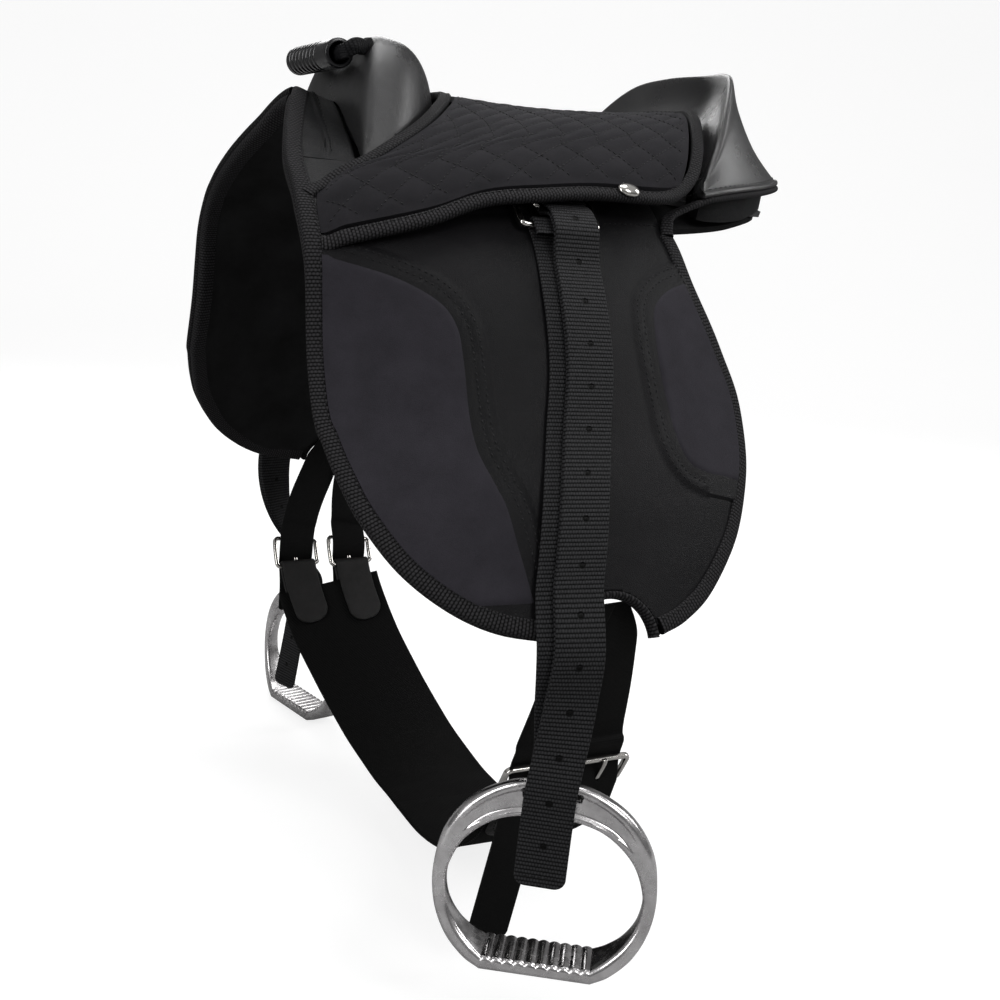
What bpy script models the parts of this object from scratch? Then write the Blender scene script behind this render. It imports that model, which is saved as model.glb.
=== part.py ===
"""Pony saddle with stirrups and girth, as an assembly of its separate pieces.

The frame: +X runs to the rear of the saddle, -Y is the near (left) side, +Z is up. The origin is
under the middle of the pads, where the saddle sits on the back of the pony.
Lengths are in millimetres until a mesh is made.
"""

import functools
import math

import bmesh
import bpy
import numpy as np
from mathutils import Vector

MM = 0.001
NEAR, FAR = -1, 1
SIDES = (("near", NEAR), ("far", FAR))
GAP = 0.4

# Half sections of the outer face of the flaps, as (half width, height), at three stations.
FRONT_X, MID_X, REAR_X = -146.0, -10.0, 175.0
FRONT_SECTION = [
    (0, 46), (31, 23), (60, 3), (87, -13), (105, -29), (116, -45), (121, -66), (126, -89),
    (136, -112), (148, -131), (161, -150), (173, -170), (185, -195), (194, -215), (203, -235),
]
MID_SECTION = [
    (0, 13), (36, 9), (72, 1), (102, -12), (122, -28), (137, -45), (151, -66), (163, -89),
    (174, -112), (184, -131), (193, -150), (201, -170), (211, -195), (219, -215), (226, -235),
]
REAR_SECTION = [
    (0, 2), (30, 0), (55, -6), (72, -16), (84, -30), (89, -45), (93, -66), (97, -89),
    (104, -112), (112, -131), (122, -150), (134, -170), (146, -195), (156, -215), (165, -235),
]
SECTION_STEPS = 5
BODY_CORE_Z = -90.0

# Layers, as heights above the outer face of the flap.
FLAP_IN, FLAP_OUT = -2.5, 0.0
PAD_OUT, PAD_EDGE_IN, PAD_IN = -4.6, -8.6, -13.4
PAD_CREST_DIP = 1.8
TREE_IN, TREE_OUT = -4.0, -0.4
PATCH_IN, PATCH_OUT = GAP, 1.7
FRONT_PATCH_DROPS = [151, 154, 158, 164, 172, 182, 194, 210, 228, 246, 262, 280, 297, 312, 322]
REAR_PATCH_DROPS = [148, 151, 156, 163, 173, 188, 206, 224, 238, 247, 252, 254.5]
TREE_HALF = 69.5
GULLET_HALF, GULLET_THICK = 3.4, 4.0
GULLET_XS = (-111.0, -70.0, -20.0, 30.0, 90.0, 130.0, 176.0)
PAD_TOP, PAD_ROWS, PAD_COLUMNS = 4.2, 19, 10
FLAP_TOP, FLAP_ROWS, FLAP_COLUMNS = 78.0, 18, 12
FLAP_CORNER = [(FLAP_TOP, 60.0), (112.0, 52.0)]
TREE_XS = (-97.5, -80.0, -50.0, -20.0, 15.0, 50.0, 85.0, 120.0, 158.0)
TREE_DROPS = (-TREE_HALF, -50.0, -25.0, 0.01, 25.0, 50.0, TREE_HALF)
TREE_TAIL_X, TREE_TAIL_SHARE = 130.0, 0.8

# The edge of pad and flap, as (x, distance down from the spine).
FRONT_EDGE = [
    (-123, 3), (-132, 32), (-142, 73), (-145, 107), (-146, 131), (-146, 219), (-143, 240),
    (-138, 260), (-131, 279), (-116, 303), (-95, 322), (-72, 334), (-44, 340),
]
REAR_EDGE = [
    (15, 338), (30, 331), (49, 316), (71, 287), (84, 257), (89, 234), (88, 207), (78, 182),
    (66, 150), (62, 122), (61, 117),
]
REAR_CORNER = 116.0
PAD_REAR = [(176, 0), (172, 28), (152, 55), (122, 80), (90, 96), (64, 106), (52, 111)]
BINDING_WIDTH, BINDING_IN, BINDING_OUT, BINDING_GAP = 9.0, -9.2, 1.4, 0.9

# The arch in the lower edge where the girth straps come out.
NOTCH_X, NOTCH_HALF, NOTCH_TOP, NOTCH_RISE = -14.0, 26.0, -190.0, 24.0
NOTCH_TAPE = (6.0, 3.6)
NOTCH_FLOOR, NOTCH_REACH = -260.0, (150.0, 270.0)

# Seat cover: borders as (fraction from spine to border, x), and heights above the flap face.
SEAT_FRONT = [
    (0, -43), (0.1, -48), (0.29, -62), (0.44, -79), (0.6, -106), (0.72, -130), (1, -136.6),
]
SEAT_REAR = [(0, 127), (0.33, 113), (0.6, 97), (0.83, 82), (1, 68)]
SEAT_DROP = [(-136, 149), (-90, 139), (-61, 129), (-29, 124), (3, 118), (41, 113), (74, 102)]
SEAT_BORDER_LIFT = [(0, 4.5), (0.25, 10), (0.45, 15.5), (0.75, 15.5), (1, 14)]
SEAT_CREST_LIFT = [(0, 26), (0.5, 37), (1, 50)]
SEAT_THICK, SEAT_BINDING = 3.2, 7.0
QUILT_CELLS, QUILT_DEPTH = (18, 24), 1.3
SEAT_START, SEAT_END = 0.054, 0.947
SEAT_HALF_ROUND = 115.0
STUD_PLACE = (0.965, 0.78)
STUD_PROFILE = ((5.0, 0.0), (5.0, 1.0), (3.8, 2.0), (1.8, 2.5))

# Pommel: heights of its two swells above the tree, by distance from the centre line.
POMMEL_RISE = [
    (0, 26), (7, 29), (15, 38), (24, 46.5), (32, 49), (40, 47.5), (48, 42), (55, 34), (61, 25),
    (67, 16), (72, 8), (75, 4),
]
POMMEL_FRONT, POMMEL_FLARE, POMMEL_HALF = -99.0, 8.0, 85.0
POMMEL_WIDTHS = [0, 4, 9, 15, 21, 27, 33, 40, 47, 54, 60, 66, 71, 75]
POMMEL_ARC, POMMEL_EDGE, POMMEL_FOOT = 12, 1.6, 1.0
PANEL_HALF, PANEL_SHORT, PANEL_OUT, PANEL_ROWS = 80.0, 1.0, 1.0, 15
POMMEL_PEAK, POMMEL_POWER_FRONT, POMMEL_POWER_REAR = 0.42, 2.8, 2.5

# Cantle: inner edge, rim and rear flange, as (x, half width, height) from centre to wing tip.
CANTLE_INNER = [(133, 0, 50), (122, 31, 47), (110, 53, 38), (98, 73, 23), (89, 85, 11), (80, 95, 0)]
CANTLE_RIM = [(143, 0, 75), (136, 31, 74), (125, 55, 68), (112, 74, 51), (100, 87, 29), (85, 98, 5)]
CANTLE_FLANGE = [(186, 0, 16), (180, 32, 15), (164, 59, 13), (138, 82, 9), (108, 98, 5), (80, 106, 0)]
# Its section up over the rim and down to the flange: place between those lines (0, 1 and 2),
# offsets outward and up, then offsets that fade out toward the wing tips.
CANTLE_SECTION = [
    (0, 1.0, -5.0, 0, 0), (0, 1.0, 0, 0, 0), (0.55, 0, 0, 2.0, -2.5), (1, -1.4, -0.8, 0, 0),
    (1, 0.4, 0, 0, 0), (1, 2.0, -1.2, 0, 0), (1.3, 0, 0, -6.3, 0), (1.68, 0, 0, -9.0, 0),
    (2, -3.0, 1.8, 0, 0), (2, 0, 1.2, 0, 0), (2, 0, -1.6, 0, 0), (2, -7.0, -1.6, 0, 0),
]
CANTLE_STEPS, CANTLE_END = 13, 0.98
CANTLE_TAPE, CANTLE_TAPE_OUT, CANTLE_TAPE_UP, CANTLE_TAPE_END = (7.0, 3.4), -2.7, -3.7, 0.95
CANTLE_PANEL_OUT, CANTLE_PANEL_UP, CANTLE_PANEL_END = (-9.0, -18.0), -2.4, 0.92
CANTLE_PANEL_LEAN, CANTLE_PANEL_FOOT = 1.5, 0.6

# Stirrup strap: webbing. Its line down the flap as (x, distance from the spine), then hanging free.
STRAP_WIDTH, STRAP_THICK = 25.0, 1.7
STRAP_LINE = {
    "near": [(-10, 92), (-10, 123), (-12, 166), (-14, 206), (-20, 240), (-27, 275), (-35, 318)],
    "far": [(-10, 92), (-10, 123), (-14, 166), (-24, 206), (-36, 240), (-46, 275), (-55, 318)],
}
STRAP_FREE = {
    "near": [(-37, 220, -215), (-38, 220, -240), (-39, 219, -268), (-40, 218, -300), (-42, 217, -420)],
    "far": [
        (-56, 219, -215), (-54, 218, -238), (-46, 217, -262), (-32, 215, -286), (-22, 213, -303),
        (-21, 213, -319), (-21, 213, -332), (-26, 213, -370), (-34, 214, -420),
    ],
}
STRAP_TWIST = {
    "near": [(-60, 0), (-206, 6), (-275, 34)],
    "far": [
        (-60, 0), (-206, 8), (-236, 22), (-262, 48), (-286, 80), (-306, 104), (-334, 104), (-420, 112),
    ],
}
STRAP_HEIGHTS = [(92, 1.3), (250, 1.6), (290, 4.6), (500, 4.6)]
STRAP_PLY = STRAP_THICK + GAP
STRAP_HUMP = [(104, 0.0), (117, 0.6), (121, 3.6), (127, 7.0), (137, 7.0), (143, 3.6), (152, 0.0)]
STRAP_OPEN = [(0, 9.0), (20, 4.4), (48, 0.0)]
TAIL_LENGTHS = {"near": 50.0, "far": 76.0}
BACK_PLY_SHIFT = {"near": 8.0, "far": 0.0}
SHIFT_END, SHIFT_FADE = 15.0, 50.0
WIRE_CLEAR, STRAP_STEP, THREE_PLY_DROP, FREE_DROP = 0.3, 15, 152.0, 318.0
TWIST_STEPS = {"near": 15, "far": 5.5}
RING_LEFT, RING_RIGHT, RING_TOP, RING_DROP, RING_LIFT, RING_WIRE = -25.5, 18.5, 98.0, 128.0, 4.2, 3.5
STRAP_PIVOT_X = -10.0
STRAP_BUCKLE_DROP, STRAP_BUCKLE_LONG, STRAP_BUCKLE_WIRE = 100.0, 15.0, 2.8

# Stirrup iron, measured from the bar that the strap goes round: outer line, inner line and depth.
IRON_BAR_Z = {"near": -278.0, "far": -319.0}
IRON_OUTER = [
    (0, 2.3), (20, -1.2), (38, -11.7), (50, -28.7), (54, -48.7), (52.5, -66.7), (46, -81.7),
    (36, -91.7), (27, -95.7),
]
IRON_INNER = [
    (0, -16.7), (16, -18.2), (29, -23.2), (41, -34.7), (47.3, -50.7), (46.2, -64.7), (40.5, -76.2),
    (33, -84.2), (26, -89.2),
]
IRON_DEPTHS = [7, 7.5, 9, 10, 10, 11, 15, 20, 24]
SLOT_WIDTH, SLOT_TOP, SLOT_BOTTOM, SLOT_REACH = 26.4, -2.3, -7.4, 20.0
TREAD_RIBS, TREAD_RIB_RISE = 9, 0.8

# Girth: each half's centre line from the bottom up, and the buckles at its ends.
GIRTH_WIDTH, GIRTH_THICK = 78.0, 3.2
GIRTH_LINES = {
    "near": [
        (8, 0, -399), (6, -40, -396), (3, -85, -384), (-1, -128, -356), (-4, -151, -329),
        (-4, -165, -304), (-7, -185, -262), (-12, -202, -220), (-14, -206, -198),
    ],
    "far": [
        (8, 0, -399), (5, 40, -394), (-4, 85, -375), (-18, 128, -340), (-29, 151, -307),
        (-34, 165, -278), (-30, 184, -248), (-18, 201, -218), (-14, 206, -198),
    ],
}
GIRTH_BAR_Z = {"near": -314.0, "far": -283.0}
GIRTH_SWING = (-14.0, -200.0)
BAND_STOP = 14.0
BUCKLE_HALF, BUCKLE_LONG, BUCKLE_WIRE, BUCKLE_SPACING = 15.3, 20.0, 3.4, 41.0
BILLET_WIDTH, BILLET_THICK = 25.0, 1.6
BILLET_SPREAD = [(0.0, 20.5), (0.2, 20.0), (0.84, 11.0), (1.0, 3.4)]
BILLET_LAYERS = {"front": -3.9, "rear": -6.0}
BILLET_TAILS = {"near": (86.0, 24.0), "far": (34.0, 26.0)}
BILLETS_PART = 42.0
BILLET_PATH = [(30.0, -1.9), (26.0, -1.6), (20.0, -1.5), (15.0, -0.6), (9.0, 2.4)]
HANG_START, HANG_STOPS = -4.0, (110.0, 30.0, 10.0)
GIRTH_STEP, GIRTH_CLEAR = 15, 0.5
BUCKLE_FLAT = 1.8
TONGUE_PATH = [(-0.8, 3.0), (17.0, 4.7), (22.6, 4.6)]
TONGUE_HOLE_PATH = [(-1.4, 3.0), (17.0, 4.7), (22.6, 4.6), (24.0, 4.6)]
TAIL_LEAN = {"near": -0.2, "far": 0.0}
TONGUE_WIDTH, TONGUE_THICK = 2.6, 1.6
TAB_WIDTH, TAB_THICK = 25.0, 1.8
TAB_STOPS = [-44.0, -39.0, -30.0, -22.0, -10.0, -2.0]
TAB_POINT = [0.5, 0.85]

# Grab handle: a grip on webbing across the pommel.
HANDLE_X, HANDLE_Y, HANDLE_CLEAR = -91.0, 36.0, 3.9
HANDLE_LINE = [(-97, 41.5, 62.5), (-103, 45.5, 60.5), (-107.5, 43.5, 57.5), (-108.5, 38, 56)]
HANDLE_TURN, HANDLE_THICK = (0.62, 0.88), 2.6
HANDLE_WIDTHS = [(0, 8.5), (0.42, 8.5), (0.6, 12), (1, 12)]
GRIP_X, GRIP_Z, GRIP_HALF, GRIP_RADIUS, GRIP_BORE, GRIP_RIBS = -108.5, 56.0, 37.0, 7.8, 5.6, 6

COLOURS = {
    "suede": ((0.012, 0.012, 0.014), 0.95, 0.0),
    "knee_suede": ((0.030, 0.028, 0.036), 0.9, 0.0),
    "synthetic_leather": ((0.016, 0.016, 0.017), 0.5, 0.0),
    "moulded_pu": ((0.028, 0.029, 0.031), 0.38, 0.0),
    "webbing": ((0.010, 0.010, 0.011), 0.85, 0.0),
    "binding_tape": ((0.013, 0.013, 0.014), 0.8, 0.0),
    "lining": ((0.010, 0.010, 0.011), 0.95, 0.0),
    "foam": ((0.10, 0.10, 0.10), 0.95, 0.0),
    "tree_plastic": ((0.05, 0.05, 0.05), 0.6, 0.0),
    "grip_rubber": ((0.05, 0.052, 0.055), 0.5, 0.0),
    "leather": ((0.014, 0.013, 0.013), 0.55, 0.0),
    "aluminium": ((0.72, 0.72, 0.73), 0.28, 1.0),
    "steel": ((0.66, 0.65, 0.63), 0.22, 1.0),
}


def material(name):
    found = bpy.data.materials.get(name)
    if found:
        return found
    colour, roughness, metallic = COLOURS[name]
    made = bpy.data.materials.new(name)
    made.use_nodes = True
    shader = made.node_tree.nodes["Principled BSDF"]
    shader.inputs["Base Color"].default_value = (*colour, 1.0)
    shader.inputs["Roughness"].default_value = roughness
    shader.inputs["Metallic"].default_value = metallic
    made.diffuse_color = (*colour, 1.0)
    return made


def table(pairs, value):
    """The second number of the pairs at this value of the first, on straight lines between them."""
    ordered = sorted(map(tuple, pairs))
    return float(np.interp(value, [p[0] for p in ordered], [p[1] for p in ordered]))


def catmull(points, steps):
    """A smooth line through the points, with this many steps between two of them."""
    points = np.asarray(points, float)
    line = np.vstack([2 * points[0] - points[1], points, 2 * points[-1] - points[-2]])
    out = []
    for a, b, c, d in zip(line, line[1:], line[2:], line[3:]):
        for t in np.arange(steps) / steps:
            out.append(
                0.5 * (2 * b + (c - a) * t + (2 * a - 5 * b + 4 * c - d) * t**2
                       + (3 * b - a - 3 * c + d) * t**3)
            )
    out.append(points[-1])
    return np.array(out)


@functools.lru_cache(maxsize=4096)
def half_curve(x):
    """The half section at x: distances from the spine along it, and its points (half width, height)."""
    weights = []
    stations = (FRONT_X, MID_X, REAR_X)
    for own in stations:
        others = [other for other in stations if other != own]
        weights.append(math.prod((x - other) / (own - other) for other in others))
    sections = (FRONT_SECTION, MID_SECTION, REAR_SECTION)
    control = sum(w * np.array(s, float) for w, s in zip(weights, sections))
    mirrored = np.array([-control[1][0], control[1][1]])
    points = catmull(np.vstack([mirrored, control]), SECTION_STEPS)[SECTION_STEPS:]
    steps = np.linalg.norm(np.diff(points, axis=0), axis=1)
    return np.concatenate([[0.0], np.cumsum(steps)]), points


def on_face(x, s):
    """The point of the flap face at x, at a distance s from the spine (negative on the near side)."""
    along, points = half_curve(round(x, 3))
    y = np.interp(abs(s), along, points[:, 0])
    z = np.interp(abs(s), along, points[:, 1])
    return Vector((x, math.copysign(y, s), z))


def face_normal(x, s):
    reach = 1.5
    across = on_face(x, s + reach) - on_face(x, s - reach)
    along = on_face(x + reach, s) - on_face(x - reach, s)
    normal = along.cross(across).normalized()
    outward = on_face(x, s) - Vector((x, 0, BODY_CORE_Z))
    return normal if normal.dot(outward) > 0 else -normal


def lifted(x, s, height):
    return on_face(x, s) + float(height) * face_normal(x, s)


def drop_at(x, y):
    """The distance from the spine where the face is y wide, for the top of the saddle."""
    along, points = half_curve(round(x, 3))
    return math.copysign(np.interp(abs(y), points[:, 0], along), y)


def top_height(x, y):
    return on_face(x, drop_at(x, y)).z


def new_object(name, points, faces, kind):
    """A closed mesh in metres, with its faces pointing out."""
    mesh = bpy.data.meshes.new(name)
    shape = bmesh.new()
    verts = [shape.verts.new(Vector(p) * MM) for p in points]
    for face in faces:
        shape.faces.new([verts[i] for i in face])
    bmesh.ops.recalc_face_normals(shape, faces=shape.faces)
    shape.to_mesh(mesh)
    shape.free()
    mesh.shade_smooth()
    mesh.set_sharp_from_angle(angle=math.radians(40))
    mesh.materials.append(material(kind))
    made = bpy.data.objects.new(name, mesh)
    bpy.context.scene.collection.objects.link(made)
    return made


def grid_solid(name, outer, inner, kind, quilted=False):
    """A closed sheet between two grids of points. On a quilted one each quad splits along its seam."""
    rows, columns = len(outer), len(outer[0])
    points = [p for row in outer for p in row] + [p for row in inner for p in row]
    under = rows * columns

    def quad(a, b, c, d, even):
        if not quilted:
            return [(a, b, c, d)]
        return [(a, b, c), (a, c, d)] if even else [(b, c, d), (b, d, a)]

    faces = []
    for i in range(rows - 1):
        for j in range(columns - 1):
            a, b = i * columns + j, i * columns + j + 1
            c, d = b + columns, a + columns
            faces += quad(a, b, c, d, (i + j) % 2 == 0)
            faces.append((under + a, under + d, under + c, under + b))
    rim = [(0, j) for j in range(columns)] + [(i, columns - 1) for i in range(1, rows)]
    rim += [(rows - 1, j) for j in range(columns - 2, -1, -1)] + [(i, 0) for i in range(rows - 2, 0, -1)]
    for (i, j), (m, n) in zip(rim, rim[1:] + rim[:1]):
        a, b = i * columns + j, m * columns + n
        faces.append((a, b, under + b, under + a))
    return new_object(name, points, faces, kind)


def loft(name, rings, kind, closed=False):
    """A solid through rings of the same count of points, with flat ends unless it closes on itself."""
    count = len(rings[0])
    points = [p for ring in rings for p in ring]
    pairs = list(zip(range(len(rings)), range(1, len(rings))))
    if closed:
        pairs.append((len(rings) - 1, 0))
    faces = []
    for a, b in pairs:
        for k in range(count):
            m = (k + 1) % count
            faces.append((a * count + k, a * count + m, b * count + m, b * count + k))
    if not closed:
        faces.append(tuple(range(count)))
        faces.append(tuple(range((len(rings) - 1) * count, len(rings) * count)))
    return new_object(name, points, faces, kind)


def box_profile(width, low, high, corner):
    """A flat strip's section with chamfered corners, as (across, up)."""
    w = width / 2
    return [
        (-w + corner, low), (w - corner, low), (w, low + corner), (w, high - corner),
        (w - corner, high), (-w + corner, high), (-w, high - corner), (-w, low + corner),
    ]


def tape_profile(width, low, high, corner):
    """A folded tape's section, rounded on its outer side only, as (across, up)."""
    w = width / 2
    right = [(w, low), (w, high - corner), (w - corner, high)]
    return [(-w, low), *right, (corner - w, high), (-w, high - corner)]


def round_profile(radius, sides):
    turns = [2 * math.pi * (k + 0.5) / sides for k in range(sides)]
    return [(radius * math.cos(t), radius * math.sin(t)) for t in turns]


def ring_at(frame, profile):
    point, across, up = frame
    return [point + float(a) * across + float(h) * up for a, h in profile]


def path_frames(points, across, closed=False):
    """Frames along a path for a section that keeps one side along the direction across."""
    points = [Vector(p) for p in points]
    frames = []
    last = len(points) - 1
    for k, point in enumerate(points):
        before = points[k - 1] if k or closed else point
        after = points[(k + 1) % len(points)] if k < last or closed else point
        along = (after - before).normalized()
        side = Vector(across[k]) if isinstance(across, list) else Vector(across)
        side = (side - side.dot(along) * along).normalized()
        frames.append((point, side, along.cross(side).normalized()))
    return frames


def strip(name, points, across, profile, kind, closed=False):
    rings = [ring_at(frame, profile) for frame in path_frames(points, across, closed)]
    return loft(name, rings, kind, closed)


def boolean(target, cutter, operation):
    cutter.hide_render = True
    cutter.display_type = "WIRE"
    cutter.hide_set(True)
    step = target.modifiers.new(operation.lower(), "BOOLEAN")
    step.operation = operation
    step.object = cutter


def place_on_axis(made, origin):
    """Moves an object's origin to a point of its joint's axis, without moving its surface."""
    offset = Vector(origin) * MM
    for vertex in made.data.vertices:
        vertex.co -= offset
    made.location = offset


def inset(outline, distance):
    """The outline moved inwards, to the right of its direction of travel."""
    points = np.array(outline, float)
    tangent = np.gradient(points, axis=0)
    tangent /= np.linalg.norm(tangent, axis=1)[:, None]
    normal = np.column_stack([tangent[:, 1], -tangent[:, 0]])
    return points + distance * normal


def edge_tables(distance):
    """x of the front and rear edges by distance from the spine, inset, and the lowest inset line."""
    front = inset(catmull(FRONT_EDGE, 3), distance)
    rear = inset(catmull(REAR_EDGE, 3), distance)
    low = FRONT_EDGE[-1][1] - distance
    front_pairs = [(s, x) for x, s in front if s < low] + [(low, FRONT_EDGE[-1][0])]
    rear_pairs = [(s, x) for x, s in rear if s < low] + [(low, rear[0][0] - 2)]
    return front_pairs, rear_pairs, low


def rows_between(start, end, step):
    count = max(2, round((end - start) / step) + 1)
    return list(np.linspace(start, end, count))


def draped(name, side, drops, left, right, columns, low, high, kind):
    """A sheet on one side of the saddle. Its rows run along X between the two edges."""
    outer, inner = [], []
    for k, s in enumerate(drops):
        row_out, row_in = [], []
        for u in np.linspace(0, 1, columns):
            x = left(s) + u * (right(s) - left(s))
            v = k / (len(drops) - 1)
            row_out.append(lifted(x, side * s, high(u, v) if callable(high) else high))
            row_in.append(lifted(x, side * s, low(u, v) if callable(low) else low))
        outer.append(row_out)
        inner.append(row_in)
    return grid_solid(name, outer, inner, kind)


def notch_cutter(name, side):
    """An arch-topped prism across the lower edge of one side."""
    arch = [(NOTCH_X - NOTCH_HALF, NOTCH_FLOOR), (NOTCH_X + NOTCH_HALF, NOTCH_FLOOR)]
    for k in range(13):
        turn = math.pi * k / 12
        x = NOTCH_X + NOTCH_HALF * math.cos(turn)
        arch.append((x, NOTCH_TOP - NOTCH_RISE + NOTCH_RISE * math.sin(turn)))
    rings = [[Vector((x, side * y, z)) for x, z in arch] for y in NOTCH_REACH]
    return loft(name, rings, "lining")


def pads():
    front, rear, low = edge_tables(BINDING_WIDTH + BINDING_GAP)
    rear_top = [(s, x) for x, s in PAD_REAR] + [(s, x) for s, x in rear if s > REAR_CORNER]

    def inner_lift(u, v):
        near_edge = min(1.0, 5 * min(u, 1 - u), 5 * (1 - v))
        return PAD_EDGE_IN + (PAD_IN - PAD_EDGE_IN) * math.sin(near_edge * math.pi / 2)

    def outer_lift(u, v):
        return PAD_OUT - PAD_CREST_DIP * max(0.0, 1 - v * low / FLAP_TOP)

    drops = rows_between(PAD_TOP, low, PAD_ROWS)
    for word, side in SIDES:
        pad = draped(
            f"pad_{word}", side, drops, lambda s: table(front, s), lambda s: table(rear_top, s),
            PAD_COLUMNS, inner_lift, outer_lift, "lining",
        )
        boolean(pad, notch_cutter(f"pad_notch_{word}", side), "DIFFERENCE")
    drops = (-GULLET_HALF, 0.01, GULLET_HALF)
    outer = [[lifted(x, s, PAD_OUT - PAD_CREST_DIP) for s in drops] for x in GULLET_XS]
    inner = [[lifted(x, s, PAD_OUT - PAD_CREST_DIP - GULLET_THICK) for s in drops] for x in GULLET_XS]
    grid_solid("gullet_strip", outer, inner, "webbing")


def flaps():
    front, rear, low = edge_tables(BINDING_WIDTH + BINDING_GAP)
    rear_flap = [(s, x) for s, x in rear if s > REAR_CORNER] + FLAP_CORNER
    drops = rows_between(FLAP_TOP, low, FLAP_ROWS)
    for word, side in SIDES:
        flap = draped(
            f"flap_{word}", side, drops, lambda s: table(front, s), lambda s: table(rear_flap, s),
            FLAP_COLUMNS, FLAP_IN, FLAP_OUT, "synthetic_leather",
        )
        boolean(flap, notch_cutter(f"flap_notch_{word}", side), "DIFFERENCE")


FRONT_PATCH = [
    (150, -134), (161, -103), (172, -85), (185, -77), (202, -75), (242, -74), (262, -68),
    (275, -63), (294, -59), (322, -54),
]
REAR_PATCH = [
    (147, 58), (154, 45), (163, 35), (173, 30), (192, 29), (218, 31), (239, 34), (251, 42),
    (255, 54),
]


def patches():
    front, rear, low = edge_tables(BINDING_WIDTH + 1.0)
    inner_front, inner_rear = catmull(FRONT_PATCH, 4), catmull(REAR_PATCH, 4)
    for word, side in SIDES:
        drops = FRONT_PATCH_DROPS
        draped(
            f"knee_patch_{word}", side, drops, lambda s: table(front, s),
            lambda s: table(inner_front, s), 6, PATCH_IN, PATCH_OUT, "knee_suede",
        )
        drops = REAR_PATCH_DROPS
        draped(
            f"thigh_patch_{word}", side, drops, lambda s: table(inner_rear, s),
            lambda s: table(rear, s) - 0.5, 5, PATCH_IN, PATCH_OUT, "knee_suede",
        )


def edge_binding(name, side, outline):
    """Tape folded over the edge of flap and pad."""
    line = inset(catmull(outline, 3), BINDING_WIDTH / 2)
    rings = []
    profile = tape_profile(BINDING_WIDTH, BINDING_IN, BINDING_OUT, 2.0)
    tangent = np.gradient(line, axis=0)
    for (x, s), (dx, ds) in zip(line, tangent):
        point = on_face(x, side * s)
        ahead = on_face(x + dx * 0.1, side * (s + ds * 0.1))
        normal = face_normal(x, side * s)
        along = (ahead - point).normalized()
        across = along.cross(normal).normalized()
        rings.append(ring_at((point, across, normal), profile))
    loft(name, rings, "binding_tape")


def bindings():
    for word, side in SIDES:
        edge_binding(f"front_binding_{word}", side, FRONT_EDGE)
        edge_binding(f"rear_binding_{word}", side, REAR_EDGE)
        arch = []
        wide, thick = NOTCH_TAPE
        inward = wide / 2 + 2 * GAP
        for k in range(15):
            turn = math.pi * (0.05 + 0.9 * k / 14)
            x = NOTCH_X + (NOTCH_HALF - inward) * math.cos(turn)
            z = NOTCH_TOP - NOTCH_RISE + (NOTCH_RISE - inward) * math.sin(turn)
            along, points = half_curve(round(x, 3))
            s = float(np.interp(-z, -points[:, 1], along))
            arch.append(lifted(x, side * s, FLAP_IN + thick / 2))
        profile = box_profile(thick, -wide / 2, wide / 2, 1.0)
        strip(f"notch_binding_{word}", arch, face_normal(NOTCH_X, side * 310), profile, "binding_tape")


def seat_point(f, t, height=0.0, side=1):
    """A point of the seat cover's outer face: f from spine to border, t from front to rear."""
    x = table(SEAT_FRONT, f) * (1 - t) + table(SEAT_REAR, f) * t
    border_x = SEAT_FRONT[-1][1] * (1 - t) + SEAT_REAR[-1][1] * t
    s = f * table(SEAT_DROP, border_x)
    border, crest = table(SEAT_BORDER_LIFT, t), table(SEAT_CREST_LIFT, t)
    front_shape = max(0.0, 1 - (f / 0.7) ** 1.6)
    rear_shape = 1 - f**2.2
    shape = front_shape + (rear_shape - front_shape) * t**0.7
    return lifted(x, side * max(s, 0.01), border + (crest - border) * shape + height)


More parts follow.
